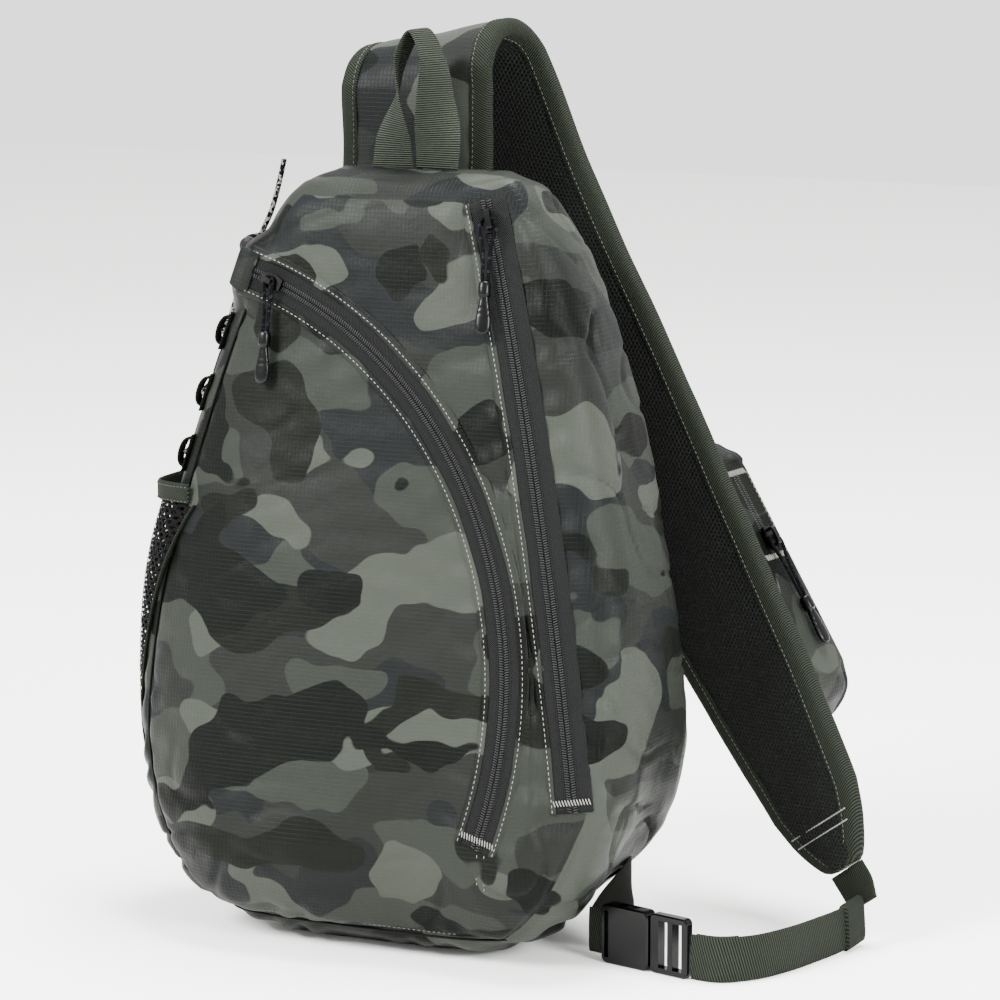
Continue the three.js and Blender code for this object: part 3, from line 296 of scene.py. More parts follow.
class Graph:
    """Short words for adding nodes to a tree. An input is a number, a colour or another node's output."""

    def __init__(self, tree):
        self.tree = tree

    def add(self, kind, inputs=(), output=0, **settings):
        node = self.tree.nodes.new(kind)
        for key, value in settings.items():
            setattr(node, key, value)
        for key, value in dict(inputs).items():
            fill(self.tree, node.inputs[key], value)
        return node.outputs[output]

    def link(self, source, socket):
        self.tree.links.new(source, socket)

    def math(self, operation, a, b=0.0):
        return self.add("ShaderNodeMath", {0: a, 1: b}, operation=operation)

    def scaled(self, value, gain, base):
        """value x gain + base."""
        return self.add("ShaderNodeMath", {0: value, 1: gain, 2: base}, operation="MULTIPLY_ADD")

    def vector(self, operation, a, b):
        return self.add("ShaderNodeVectorMath", {0: a, 1: b}, operation=operation)

    def noise(self, vector, scale, detail=2.0):
        return self.add("ShaderNodeTexNoise", {"Vector": vector, "Scale": scale, "Detail": detail, "Roughness": 0.5})

    def step(self, value, low, high):
        """0 at low, 1 at high and smooth between."""
        inputs = {"Value": value, "From Min": low, "From Max": high}
        return self.add("ShaderNodeMapRange", inputs, interpolation_type="SMOOTHSTEP")

    def mix(self, factor, a, b):
        node = self.tree.nodes.new("ShaderNodeMix")
        node.data_type = "RGBA"
        for number, value in ((0, factor), (6, a), (7, b)):
            fill(self.tree, node.inputs[number], value)
        return node.outputs[2]

    def split(self, vector):
        node = self.tree.nodes.new("ShaderNodeSeparateXYZ")
        self.link(vector, node.inputs[0])
        return node.outputs

    def use(self, shared, inputs):
        """Outputs of a shared group used in this material."""
        node = self.tree.nodes.new("ShaderNodeGroup")
        node.node_tree = shared
        for key, value in inputs.items():
            fill(self.tree, node.inputs[key], value)
        return node.outputs

    def own_uv(self):
        return self.add("ShaderNodeUVMap", uv_map="UVMap")

    def own_place(self):
        """Object coordinates."""
        return self.add("ShaderNodeTexCoord", output=3)


PRINT = 0.07  # how much light a dark dyed cloth returns, against its colour code
RIPSTOP_PITCH, RIPSTOP_FINE = 0.0024, 0.0006


def colour(text, gain=PRINT):
    """Linear colour of a hex sRGB code, times the gain."""
    c = np.array([int(text[i : i + 2], 16) for i in (1, 3, 5)]) / 255
    lin = np.where(c <= 0.04045, c / 12.92, ((c + 0.055) / 1.055) ** 2.4) * gain
    return (*[float(v) for v in lin], 1.0)


def group(name, inputs, outputs):
    """Empty shader group with the named sockets; gives its graph, its input sockets and its output node."""
    tree = bpy.data.node_groups.new(name, "ShaderNodeTree")
    for label, kind in inputs:
        tree.interface.new_socket(label, in_out="INPUT", socket_type=kind)
    for label, kind in outputs:
        tree.interface.new_socket(label, in_out="OUTPUT", socket_type=kind)
    source = tree.nodes.new("NodeGroupInput")
    return Graph(tree), source.outputs, tree.nodes.new("NodeGroupOutput")


def camo_group():
    """Camouflage print: five tones of rounded blots, each where one slow noise is above a level."""
    g, given, result = group("camo_print", [("Vector", "NodeSocketVector")], [("Color", "NodeSocketColor")])
    bend = g.add("ShaderNodeTexNoise", {"Vector": given[0], "Scale": 34.0, "Detail": 1.0}, output=1)
    bent = g.vector("MULTIPLY", bend, (0.019, 0.019, 0.019))
    wide = g.vector("MULTIPLY", given[0], (0.75, 0.75, 1.1))
    place = g.vector("ADD", wide, bent)
    tone = colour("#545952")
    layers = [
        ("#434949", 0.9, 17.0, (1.7, 0.3, 0.0), 0.5),
        ("#60675d", 1.5, 20.0, (0.0, 2.1, 0.4), 0.54),
        ("#7b8276", 1.75, 21.0, (3.1, 0.0, 1.2), 0.57),
        ("#313b2b", 0.75, 19.0, (0.7, 5.2, 2.6), 0.595),
        ("#243020", 0.5, 22.0, (4.4, 1.9, 0.8), 0.6),
    ]
    for code, gain, scale, shift, level in layers:
        field = g.noise(g.vector("ADD", place, shift), scale, detail=0.6)
        tone = g.mix(g.step(field, level - 0.003, level + 0.003), tone, colour(code, PRINT * gain))
    g.link(tone, result.inputs[0])
    return g.tree


def ripstop_group():
    """Ripstop weave on a texture in metres: a square grid of raised threads over a very fine plain weave."""
    g, given, result = group(
        "ripstop", [("UV", "NodeSocketVector")], [("Height", "NodeSocketFloat"), ("Line", "NodeSocketFloat")]
    )
    x, y, _ = g.split(given[0])
    lines = []
    for value in (x, y):
        saw = g.math("PINGPONG", g.math("MULTIPLY", value, 1 / RIPSTOP_PITCH), 0.5)
        lines.append(g.step(saw, 0.12, 0.03))
    line = g.math("MAXIMUM", *lines)
    warp, weft = (g.math("SINE", g.math("MULTIPLY", value, 2 * math.pi / RIPSTOP_FINE)) for value in (x, y))
    fine = g.math("MULTIPLY", warp, weft)
    g.link(g.math("ADD", g.math("MULTIPLY", fine, 0.12), line), result.inputs[0])
    g.link(line, result.inputs[1])
    return g.tree


def rib_group():
    """Ribbed weave: rounded ribs across the texture's length, each crossed by a twill of fine slanting threads."""
    g, given, result = group(
        "ribs",
        [("UV", "NodeSocketVector"), ("Pitch", "NodeSocketFloat"), ("Slant", "NodeSocketFloat")],
        [("Height", "NodeSocketFloat"), ("Shade", "NodeSocketFloat")],
    )
    x, y, _ = g.split(given[0])
    run = g.math("ADD", x, g.math("MULTIPLY", y, given[2]))
    wave = g.math("SINE", g.math("MULTIPLY", g.math("DIVIDE", run, given[1]), 2 * math.pi))
    rib = g.scaled(wave, 0.5, 0.5)
    slanting = g.math("SUBTRACT", y, g.math("MULTIPLY", x, 0.5))
    thread = g.math("SINE", g.math("MULTIPLY", slanting, 2 * math.pi / 0.0009))
    height = g.math("ADD", rib, g.math("MULTIPLY", thread, 0.16))
    g.link(height, result.inputs[0])
    g.link(g.math("MULTIPLY", rib, g.scaled(thread, 0.2, 0.5)), result.inputs[1])
    return g.tree


def hole_group():
    """Knitted mesh: round holes in staggered rows. Solid is 1 on the threads and 0 in the holes."""
    g, given, result = group(
        "knit_holes",
        [("UV", "NodeSocketVector"), ("Pitch", "NodeSocketFloat"), ("Size", "NodeSocketFloat")],
        [("Solid", "NodeSocketFloat"), ("Height", "NodeSocketFloat")],
    )
    x, y, _ = g.split(given[0])
    u, v = g.math("DIVIDE", x, given[1]), g.math("DIVIDE", y, given[1])
    near = []
    for shift in (0.0, 0.5):
        du = g.math("SUBTRACT", g.math("FRACT", g.math("ADD", u, shift)), 0.5)
        dv = g.math("SUBTRACT", g.math("FRACT", g.math("ADD", g.math("MULTIPLY", v, 0.62), shift)), 0.5)
        du2, dv2 = g.math("POWER", du, 2.0), g.math("POWER", g.math("MULTIPLY", dv, 1.5), 2.0)
        near.append(g.math("SQRT", g.math("ADD", du2, dv2)))
    distance = g.math("MINIMUM", *near)
    g.link(g.step(distance, given[2], g.math("ADD", given[2], 0.05)), result.inputs[0])
    g.link(g.step(distance, 0.1, 0.45), result.inputs[1])
    return g.tree


CAMO, RIPSTOP, RIBS, HOLES = camo_group(), ripstop_group(), rib_group(), hole_group()


def material(name, roughness=0.7, metallic=0.0, gloss=0.05):
    """New material; gives it, its graph and its Principled shader."""
    made = bpy.data.materials.new(name)
    made.use_nodes = True
    shader = made.node_tree.nodes["Principled BSDF"]
    shader.inputs["Roughness"].default_value = roughness
    shader.inputs["Metallic"].default_value = metallic
    shader.inputs["Specular IOR Level"].default_value = gloss
    return made, Graph(made.node_tree), shader


def bump(g, shader, height, distance):
    """Bump in metres into the shader's normal."""
    made = g.add("ShaderNodeBump", {"Height": height, "Distance": distance, "Strength": 1.0})
    g.link(made, shader.inputs["Normal"])


def tinted(g, base, vector, amount, scale):
    """Base colour made a little lighter and darker by a slow noise."""
    value = g.scaled(g.noise(vector, scale, 3.0), 2 * amount, 1 - amount)
    base = base if isinstance(base, bpy.types.NodeSocket) else base[:3]
    return g.add("ShaderNodeVectorMath", {0: base, 3: value}, operation="SCALE")


def ripstop_fabric(name, shift, body=False):
    """Printed ripstop nylon with a soft gloss. On the body, the front, side and base panels are cut from
    different places of the print, and the back is plain dark fabric."""
    made, g, shader = material(name, gloss=0.06)
    place, uv = g.own_place(), g.own_uv()
    print_here = g.use(CAMO, {"Vector": g.vector("ADD", place, shift)})[0]
    height, line = g.use(RIPSTOP, {"UV": uv})[:2]
    if body:
        panel = g.add("ShaderNodeAttribute", output=2, attribute_name="panel")
        front = g.step(panel, 0.02, -0.02)
        other = g.use(CAMO, {"Vector": g.vector("ADD", place, (0.9, 0.4, 0.2))})[0]
        print_here = g.mix(front, other, print_here)
        _, y, z = g.split(place)
        back = g.math("MULTIPLY", g.step(y, 0.0438, 0.0442), g.step(z, 0.0398, 0.0402))
        print_here = g.mix(back, print_here, colour("#454a41"))
    # Grid lines lightened a little: the raised threads' pattern and a painted highlight on them.
    lit = g.mix(g.math("MULTIPLY", line, 0.025), print_here, colour("#b4b8b0"))
    g.link(tinted(g, lit, place, 0.08, 45.0), shader.inputs["Base Color"])
    g.link(g.scaled(g.noise(place, 90.0, 3.0), 0.22, 0.34), shader.inputs["Roughness"])
    soft = g.math("MULTIPLY", g.noise(place, 140.0, 3.0), 6.0)
    bump(g, shader, g.math("ADD", height, soft), 0.00007)
    return made


def woven(name, code, pitch, slant, depth, light=0.5, crest_highlight_gain=2.0):
    """Woven band: ribs of the pitch, with painted shade between them and a painted highlight on their crests."""
    made, g, shader = material(name, 0.8)
    height, shade = g.use(RIBS, {"UV": g.own_uv(), "Pitch": pitch, "Slant": slant})[:2]
    # Valleys take the first gain and crests the second: painted shade between the ribs, painted highlight on them.
    tone = g.mix(g.step(height, 0.0, 0.9), colour(code, light * PRINT), colour(code, crest_highlight_gain * PRINT))
    g.link(tinted(g, tone, g.own_place(), 0.12, 220.0), shader.inputs["Base Color"])
    bump(g, shader, height, depth)
    return made


def plastic(name, code, roughness):
    """Moulded plastic: faint flow marks in its gloss and a very fine grain."""
    made, g, shader = material(name, roughness, gloss=0.14)
    place = g.own_place()
    g.link(tinted(g, colour(code), place, 0.25, 120.0), shader.inputs["Base Color"])
    g.link(g.scaled(g.noise(place, 400.0, 4.0), 0.16, roughness - 0.06), shader.inputs["Roughness"])
    bump(g, shader, g.noise(place, 2500.0, 2.0), 0.00002)
    return made


def thread(name, code, gain):
    """Twisted sewing thread."""
    made, g, shader = material(name, 0.6)
    place = g.own_place()
    g.link(tinted(g, colour(code, gain), place, 0.15, 700.0), shader.inputs["Base Color"])
    bump(g, shader, g.noise(place, 3000.0, 2.0), 0.0001)
    return made


def knitted(name, code, pitch, size, see_through):
    """Knitted mesh with staggered holes, open or with a dark layer behind; the backed kind has painted glints on its
    threads.
    """
    made, g, shader = material(name, 0.75)
    solid, height = g.use(HOLES, {"UV": g.own_uv(), "Pitch": pitch, "Size": size})[:2]
    if see_through:
        g.link(tinted(g, colour(code), g.own_place(), 0.2, 300.0), shader.inputs["Base Color"])
        g.link(solid, shader.inputs["Alpha"])
    else:
        # Light specks on the dark threads: painted glints.
        sparkle = g.step(g.noise(g.own_place(), 900.0, 2.0), 0.56, 0.66)
        thread_and_glint_tone = g.mix(sparkle, colour(code, 0.6), colour("#6f756c"))
        g.link(g.mix(solid, colour("#050505"), thread_and_glint_tone), shader.inputs["Base Color"])
    bump(g, shader, height, 0.0006)
    return made


def braid(name, dark, light, share):
    """Braided cord: two sets of slanting strands, with light strands among the dark."""
    made, g, shader = material(name)
    x, y, _ = g.split(g.own_uv())
    slants = (g.math(way, x, y) for way in ("ADD", "SUBTRACT"))
    weave = g.math("MULTIPLY", *[g.math("SINE", g.math("MULTIPLY", s, 2 * math.pi / 0.0013)) for s in slants])
    speck = g.step(g.noise(g.own_place(), 520.0, 1.0), share - 0.02, share + 0.02)
    g.link(g.mix(speck, colour(dark), colour(light, 0.35)), shader.inputs["Base Color"])
    bump(g, shader, weave, 0.0003)
    return made


camo_body = ripstop_fabric("camo_ripstop_body", (0.0, 0.0, 0.0), body=True)
camo_strap = ripstop_fabric("camo_ripstop_strap", (2.3, 0.7, 0.1))
camo_lip = ripstop_fabric("camo_ripstop_lip", (0.0, 0.0, 0.0))
camo_pocket = ripstop_fabric("camo_ripstop_pocket", (5.3, 1.7, 0.6))
handle_web = woven("ribbed_webbing", "#626a5c", 0.0012, 0.0, 0.0007, light=0.2, crest_highlight_gain=4.2)
flat_web = woven("twill_webbing", "#5b6355", 0.0015, 0.3, 0.0006, light=0.3, crest_highlight_gain=3.2)
tab_web = woven("dark_tab_webbing", "#3c423a", 0.0012, 0.0, 0.0004)
binding = woven("grosgrain_binding", "#4e5648", 0.0013, 0.55, 0.00035, light=0.4, crest_highlight_gain=2.8)
zip_cloth = woven("zip_tape", "#3d3e3e", 0.0011, 0.8, 0.0003, light=1.0, crest_highlight_gain=3.0)
dark_cloth = woven("dark_fabric", "#33382f", 0.0008, 0.6, 0.0002, light=0.8)
coil_plastic = plastic("zip_coil", "#68696b", 0.42)
gloss_black = plastic("moulded_black", "#0b0c0e", 0.2)
grip_black = plastic("grip_black", "#15161b", 0.26)
lock_grey = plastic("lock_grey", "#3b3e3c", 0.4)
white_thread = thread("white_thread", "#b9bab2", 0.33)
grey_thread = thread("grey_thread", "#7c8177", 0.25)
# Dark cords of painted shadow for the seam valleys, drawn with the thread shader.
painted_seam_shadow = thread("seam_shadow", "#1b1e19", 0.1)
mesh_open = knitted("pocket_mesh", "#191b19", 0.0034, 0.26, True)
mesh_lining = knitted("spacer_mesh", "#171917", 0.0026, 0.16, False)
cord_black = braid("pull_cord", "#12131a", "#2c2e3a", 0.6)
cord_speckled = braid("bungee", "#1b1c1b", "#c9cbc6", 0.53)


# ---- body ----
# Height, half width, front and back of each body section; the front leans back as it rises.
def leaning(z):
    return -88 + LEAN * (z - 60)


SECTIONS = np.array(
    [
        (0, 66, -44, 38), (8, 84, -64, 48), (20, 101, -76, 54), (38, 118, -84, 58),
        (60, 132, leaning(60), 60), (92, 144, leaning(92), 60), (125, 148.5, leaning(125), 60),
        (186, 145, leaning(186), 60), (231, 136, leaning(231), 60), (270, 126, leaning(270), 60),
        (309, 115, leaning(309), 59), (342, 104, leaning(342), 57), (375, 91, leaning(375), 53),
        (398, 78, leaning(398), 47), (412, 66, -15, 40), (420, 50, 0, 28),
    ]
)  # fmt: skip
CORNER = 4.5
FRONT_CENTRE = np.array([-153.0, leaning(139), 139.0])
FRONT_RADIUS = 240.0
AXIS_U = np.array([1.0, 0.0, 0.0])
AXIS_V = unit(np.array([0.0, LEAN, 1.0]))
FRONT_OUT = np.cross(AXIS_U, AXIS_V)
MAIN_TOP = np.array([50, -15.5, 409.0])
MAIN_MIDDLE = np.array([96, -48.5, 250.0])
MAIN_BOTTOM = np.array([127, -71, 92.0])


def section(z):
    """Half width, front and back at each height: a cubic curve through the sections."""
    z = np.asarray(z, float)
    heights, values = SECTIONS[:, 0], SECTIONS[:, 1:]
    i = np.clip(np.searchsorted(heights, z, side="left") - 1, 0, len(heights) - 2)
    before = np.maximum(np.arange(len(heights)) - 1, 0)
    after = np.minimum(np.arange(len(heights)) + 1, len(heights) - 1)
    slope = (values[after] - values[before]) / (heights[after] - heights[before])[:, None]
    span = (heights[i + 1] - heights[i])[..., None]
    t = ((z - heights[i])[..., None]) / span
    rise = t * t * (3 - 2 * t)
    value = values[i] * (1 - rise) + values[i + 1] * rise
    value = value + span * (slope[i] * t * (1 - t) ** 2 - slope[i + 1] * t * t * (1 - t))
    return value[..., 0], value[..., 1], value[..., 2]


def skin_y(x, z):
    """Depth of the body's front surface at x and z."""
    half, front, back = section(z)
    share = np.minimum(np.abs(x) / half, 0.999)
    return (front + back) / 2 - (back - front) / 2 * (1 - share**CORNER) ** (1 / CORNER)


def skin_x(y, z, sign):
    """Side of the body's surface at y and z."""
    half, front, back = section(z)
    share = np.minimum(np.abs(y - (front + back) / 2) / ((back - front) / 2), 0.999)
    return sign * half * (1 - share**CORNER) ** (1 / CORNER)


def circle_frames(centre, radius, u, v, axis, out, angles):
    """Points on a circle, their direction, the side across and the outward direction."""
    c, s = np.cos(np.radians(angles))[:, None], np.sin(np.radians(angles))[:, None]
    radial = u * c + v * s
    go = np.cross(axis, radial)
    out = np.broadcast_to(unit(out(radial)), go.shape)
    return centre + radius * radial, go, -np.cross(go, out), out


def main_circle():
    """Circle through the main zip's top, middle and bottom."""
    a, b = MAIN_BOTTOM - MAIN_TOP, MAIN_MIDDLE - MAIN_TOP
    normal = np.cross(a, b)
    to_centre = np.cross(b * (a @ a) - a * (b @ b), normal) / (2 * normal @ normal)
    centre = MAIN_TOP + to_centre
    axis = unit(normal)
    u = unit(MAIN_MIDDLE - centre)
    v = np.cross(axis, u)
    face = unit(np.array([0.3, -1, LEAN]))
    angle = [math.degrees(math.atan2((p - centre) @ v, (p - centre) @ u)) for p in (MAIN_BOTTOM, MAIN_TOP)]
    tilt = (face @ axis, face @ u)
    return centre, np.linalg.norm(to_centre), u, v, axis, lambda r: tilt[0] * axis + tilt[1] * r, angle


MAIN = main_circle()


def front_line(a, b, count=150):
    return circle_frames(
        FRONT_CENTRE, FRONT_RADIUS, AXIS_U, AXIS_V, FRONT_OUT, lambda r: FRONT_OUT, np.linspace(a, b, count)
    )


def main_line(a, b, count=120):
    return circle_frames(*MAIN[:6], np.linspace(a, b, count))


front_zip = front_line(-17, 74.5)
main_zip = main_line(*MAIN[6])


def from_line(p, line):
    """From each point to its nearest place on a line: signed distance across, distance along, height above,
    and how far the point is past the line's end."""
    at, go, side, out = line
    s = lengths(at)
    best = np.empty(len(p), int)
    for start in range(0, len(p), 20000):
        part = p[start : start + 20000]
        best[start : start + 20000] = ((part[:, None] - at[None]) ** 2).sum(-1).argmin(1)
    d = p - at[best]
    past = (d * go[best]).sum(-1)
    return (d * side[best]).sum(-1), s[best] + past, (d * out[best]).sum(-1), past


def front_edge(z):
    """Where the front panel ends on the left and right at each height."""
    half = section(z)[0]
    order = np.argsort(main_zip[0][:, 2])
    zip_x = np.interp(z, main_zip[0][order, 2], main_zip[0][order, 0])
    return -(half - 12), np.where(z < 92, half - 12, np.minimum(zip_x, half - 12))


def body_surface():
    """Body skin on a grid of 420 columns and 230 rows. Each section is a superellipse of power 4.5. The skin
    is then moved along its normal: flush with the zips near them, filled out between them, drawn in at the
    seams with puckers beside them, and creased and slumped by slow ripples."""
    columns = 420
    turn = (np.arange(columns) + 0.5) / columns * 2 * np.pi
    z = np.concatenate([np.linspace(0, 60, 52), np.linspace(60, 398, 150)[1:], np.linspace(398, 420, 30)[1:]])
    rows = len(z)
    half, front, back = section(z)
    c, s = np.cos(turn), np.sin(turn)
    even = np.abs(c) ** (2 / CORNER) * np.sign(c), np.abs(s) ** (2 / CORNER) * np.sign(s)
    x = half[:, None] * even[0]
    y = (front + back)[:, None] / 2 + (back - front)[:, None] / 2 * even[1]
    p = np.stack([x, y, np.broadcast_to(z[:, None], x.shape)], -1)
    around = np.roll(p, -1, 1) - np.roll(p, 1, 1)
    upward = np.gradient(p, axis=0)
    normal = unit(np.cross(around, upward)).reshape(-1, 3)
    q = p.reshape(-1, 3)

    across, run, depth, past = from_line(q, front_zip)
    near = smooth(np.abs(across), 26, 10) * smooth(np.abs(past), 14, 2) * (q[:, 1] < -10)
    flush = near * np.clip(-depth - 0.9, -8, 8)
    across2, run2, depth2, past2 = from_line(q, main_zip)
    near2 = smooth(np.abs(across2), 24, 10) * smooth(np.abs(past2), 14, 2) * (q[:, 1] < 10)
    flush2 = near2 * np.clip(-depth2 - 0.9, -8, 8)
    move = np.where(np.abs(across) < np.abs(across2), flush, flush2)
    zipped = np.maximum(near, near2)

    left, right = front_edge(q[:, 2])
    fore = q[:, 1] < section(q[:, 2])[1] * 0.45
    border = np.minimum(np.minimum(q[:, 0] - left, right - q[:, 0]), np.minimum(q[:, 2] - 14, 407 - q[:, 2]))
    border = np.where(fore, border, -30)
    seam = np.exp(-((border / 2.6) ** 2)) * (1 - near2) * smooth(q[:, 2], 396, 372)
    rear = np.where(q[:, 1] > 20, np.minimum(q[:, 1] - 44, q[:, 2] - 40), -30)
    seam_rear = np.exp(-((rear / 2.2) ** 2))
    base = np.where(border < 0, q[:, 2] - 40, 30)
    seam_base = np.exp(-((base / 2.2) ** 2)) * (border < 0)
    top = np.exp(-((q[:, 0] / 2.0) ** 2)) * (q[:, 2] > 395) * (border < -2)
    side_seams = np.maximum.reduce([seam, seam_rear, seam_base, top * 0.6])
    move -= 2.0 * side_seams * (1 - zipped)

    inside = smooth(-np.hypot(q[:, 0] + 153, (q - FRONT_CENTRE) @ AXIS_V) + FRONT_RADIUS, 30, 120)
    full = inside * smooth(border, 4, 50) * smooth(q[:, 2], 350, 200)
    move += 4.5 * full * fore
    flank = smooth(np.abs(rear), 4, 40) * (rear < 0) * smooth(-border, 4, 40) * smooth(q[:, 2], 30, 90)
    move += 2.2 * flank * smooth(q[:, 2], 400, 300)

    wave = np.sin(run / 4.6 + 1.7 * np.sin(run / 23) + 0.8 * ripple(q, 60, 3))
    beside = np.exp(-(((np.abs(across) - 19) / 8) ** 2)) * smooth(np.abs(past), 12, 0)
    move += 0.75 * wave * beside * (q[:, 1] < -10)
    wave2 = np.sin(run2 / 4.2 + 1.9 * np.sin(run2 / 31))
    beside2 = np.exp(-(((np.abs(across2) - 18) / 9) ** 2)) * smooth(np.abs(past2), 12, 0)
    move += 0.8 * wave2 * beside2 * (q[:, 1] < 10)
    circuit = np.arctan2(q[:, 2] - 200, q[:, 0]) * 150
    pucker = np.sin(circuit / 3.4 + 2.2 * ripple(q, 50, 5)) * (0.6 + 0.4 * ripple(q, 80, 6))
    beside3 = np.exp(-(((np.abs(border) - 7) / 7) ** 2)) + np.exp(-(((np.abs(rear) - 7) / 7) ** 2))
    low = smooth(q[:, 2], 130, 20)
    move += (0.45 + 0.7 * low) * pucker * np.clip(beside3, 0, 1) * (1 - zipped)

    calm = 1 - 0.85 * zipped
    feet = smooth(q[:, 2], 2, 30)
    sag = q * np.array([1.0, 1.0, 0.55])
    flank_side = smooth(q[:, 0], 70, 110)
    move += 1.9 * ripple(sag, 85, 11) * calm * feet * (0.5 + 0.8 * low + 0.6 * flank_side)
    crease = np.abs(ripple(q * np.array([0.8, 1.0, 1.5]), 60, 21))
    move += (0.9 - 1.7 * np.exp(-((crease / 0.16) ** 2))) * calm * feet * (0.25 + 0.9 * low + 0.7 * flank_side)
    move += 0.25 * ripple(q, 16, 31) * calm * feet
    quilt = np.cos((q[:, 0] + 0.5 * q[:, 2]) / 9.5) * np.cos((q[:, 0] - 0.5 * q[:, 2]) / 9.5)
    move += 1.6 * quilt * smooth(rear, 8, 16)

    foot = np.exp(-(((q[:, 0] + 8) / 34) ** 4) - ((q[:, 1] - 6) / 13) ** 4) * (q[:, 2] > 405)
    move = move * (1 - foot) - 1.4 * foot
    q = q + normal * move[:, None]
    q[:, 2] = np.maximum(q[:, 2], 0.0)
    points = q.reshape(rows, columns, 3)
    girth = np.linalg.norm(np.roll(p, -1, 1) - p, axis=-1)
    u = np.concatenate([np.zeros((rows, 1)), np.cumsum(girth, 1)], 1)
    u = u - u[:, columns // 2 + columns // 4][:, None]
    v = np.broadcast_to(lengths(np.stack([front, z], -1))[:, None], u.shape)
    skin = grid_object("body_fabric", points, camo_body, np.stack([u, v], -1), caps="fan")
    attribute = skin.data.attributes.new("panel", "FLOAT", "POINT")
    attribute.data.foreach_set("value", np.append(-border * MM * 100, [0.5, 0.5]).astype(np.float32))
    return skin


placed(
    body_surface(), "body", "front_pocket_panel", "front_panel", "left_gusset", "right_gusset",
    "bottom_panel", "back_panel", "back_pad_foam", "pocket_divider", slot="camo_fabric",
)  # fmt: skip


def on_skin(x, z, lift):
    """Points on the front skin at x and z, lifted off it, and the outward directions there."""
    step = 0.5
    y = skin_y(x, z)
    dx = np.stack([np.full_like(x, step), skin_y(x + step, z) - y, 0 * x], -1)
    dz = np.stack([0 * x, skin_y(x, z + step) - y, np.full_like(x, step)], -1)
    out = unit(np.cross(dx, dz))
    out = out * -np.sign(out[..., 1:2])
    return np.stack([x, y, z], -1) + lift * out, out


# ---- zips ----
# Section of a folded lip: distance from the zip's middle, and height.
LIP_ACROSS = np.array([8.9, 8.7, 8.9, 9.7, 10.8, 12.2, 13.8, 14.2, 12.4, 10.8, 9.7, 9.2])
LIP_HEIGHT = np.array([0.0, 0.4, 0.8, 1.0, 0.85, 0.4, -0.5, -1.3, -0.9, -0.4, -0.2, -0.1])


def zip_tapes(name, line, cad, body, lips=(True, True), lip_material=camo_lip):
    """Tapes, two rows of coil turns and the folded fabric lips with their stitches, along a line."""
    at, go, side, out = line
    for label, sign in (("inner", -1), ("outer", 1)):
        centre = at + side * sign * (TAPE_HALF + 2.0) / 2 - out * 0.2
        tape = band(f"{name}_tape_{label}", centre, side, out, (TAPE_HALF + 1.0) / 2 + 0.6, 0.8, zip_cloth)
        placed(tape, body, f"{cad}_zip_tape_{label}", slot="zip_tape")
        p, (g, s, o) = resampled(at, (go, side, out), 1.35)
        lean = unit(s * sign + 0.22 * g)
        over = np.cross(o, lean)
        middle = p + sign * s * 1.55 + 0.35 * o + (0.33 * sign) * g
        turns = grains(f"{name}_coil_{label}", middle, lean, unit(over), o, 2.9, 0.95, 0.75, coil_plastic)
        placed(turns, body, *([f"{cad}_zip_coil"] if sign < 0 else []), slot="zip_coil")
        cord = at + side * sign * 3.5 + out * 0.25
        placed(band(f"{name}_coil_bed_{label}", cord, side, out, 0.5, 0.5, zip_cloth), body, slot="zip_tape")
    for label, sign, wanted in (("inner", -1, lips[0]), ("outer", 1, lips[1])):
        if not wanted:
            continue
        s = lengths(at)
        swell = 1 + 0.1 * np.sin(s / 5.1 + 1.3 * np.sin(s / 17))[:, None]
        wander = sign * LIP_ACROSS[None] + 0.22 * np.sin(s / 8.3)[:, None]
        lip = loop_along(f"{name}_lip_{label}", at, side, out, wander, LIP_HEIGHT[None] * swell, lip_material)
        placed(lip, body, slot="camo_fabric")
        seam = at + side * sign * 10.9 + out * 0.85
        placed(stitches(f"{name}_stitch_{label}", seam, out, white_thread), body, slot="zip_tape")


zip_tapes("front_zip", front_zip, "front", "body")
left_sign = -np.sign(main_zip[2][60, 0])
zip_tapes("main_zip", main_zip, "main", "body", lips=(left_sign < 0, left_sign > 0))


# ---- seams of the body ----
def seam_cord(name, x, z):
    """Dark thread of shadow sunk 0.9 mm along a seam on the front skin."""
    placed(tube(name, on_skin(x, z, -0.9)[0], 0.7, painted_seam_shadow, sides=8), "body", slot="dark_fabric")


level = np.linspace(16, 404, 220)
left_edge, right_edge = front_edge(level)
seam_cord("seam_front_left", left_edge, level)
low_right = level[level < 100]
seam_cord("seam_front_right_low", front_edge(low_right)[1], low_right)
foot_x = np.linspace(left_edge[0], right_edge[0], 120)
seam_cord("seam_front_base", foot_x, np.full(120, 14.0))
stitch_x = np.linspace(-70, 60, 160)
p, out = on_skin(stitch_x, np.full(160, 18.5), 0.2)
placed(stitches("base_stitch", p, out, grey_thread), "body", slot="camo_fabric")
low_line = np.linspace(20, 68, 40)
p, out = on_skin(76.5 + 0.02 * low_line, low_line, 0.3)
placed(stitches("front_foot_stitch_a", p, out, white_thread), "body", slot="zip_tape")
placed(stitches("front_foot_stitch_b", p + np.array([4.2, 0, 0]), out, white_thread), "body", slot="zip_tape")


def side_seam(name, sign):
    """Dark cord of painted shadow where a gusset meets the back panel, at a fixed depth, sunk 0.9 mm into the skin.
    """
    z = np.linspace(41, 398, 200)
    back = section(z)[2]
    y = np.minimum(44.0, back - 4)
    p = np.stack([skin_x(y, z, sign) - sign * 0.9, y, z], -1)
    placed(tube(name, p, 0.8, painted_seam_shadow, sides=8), "body", slot="dark_fabric")


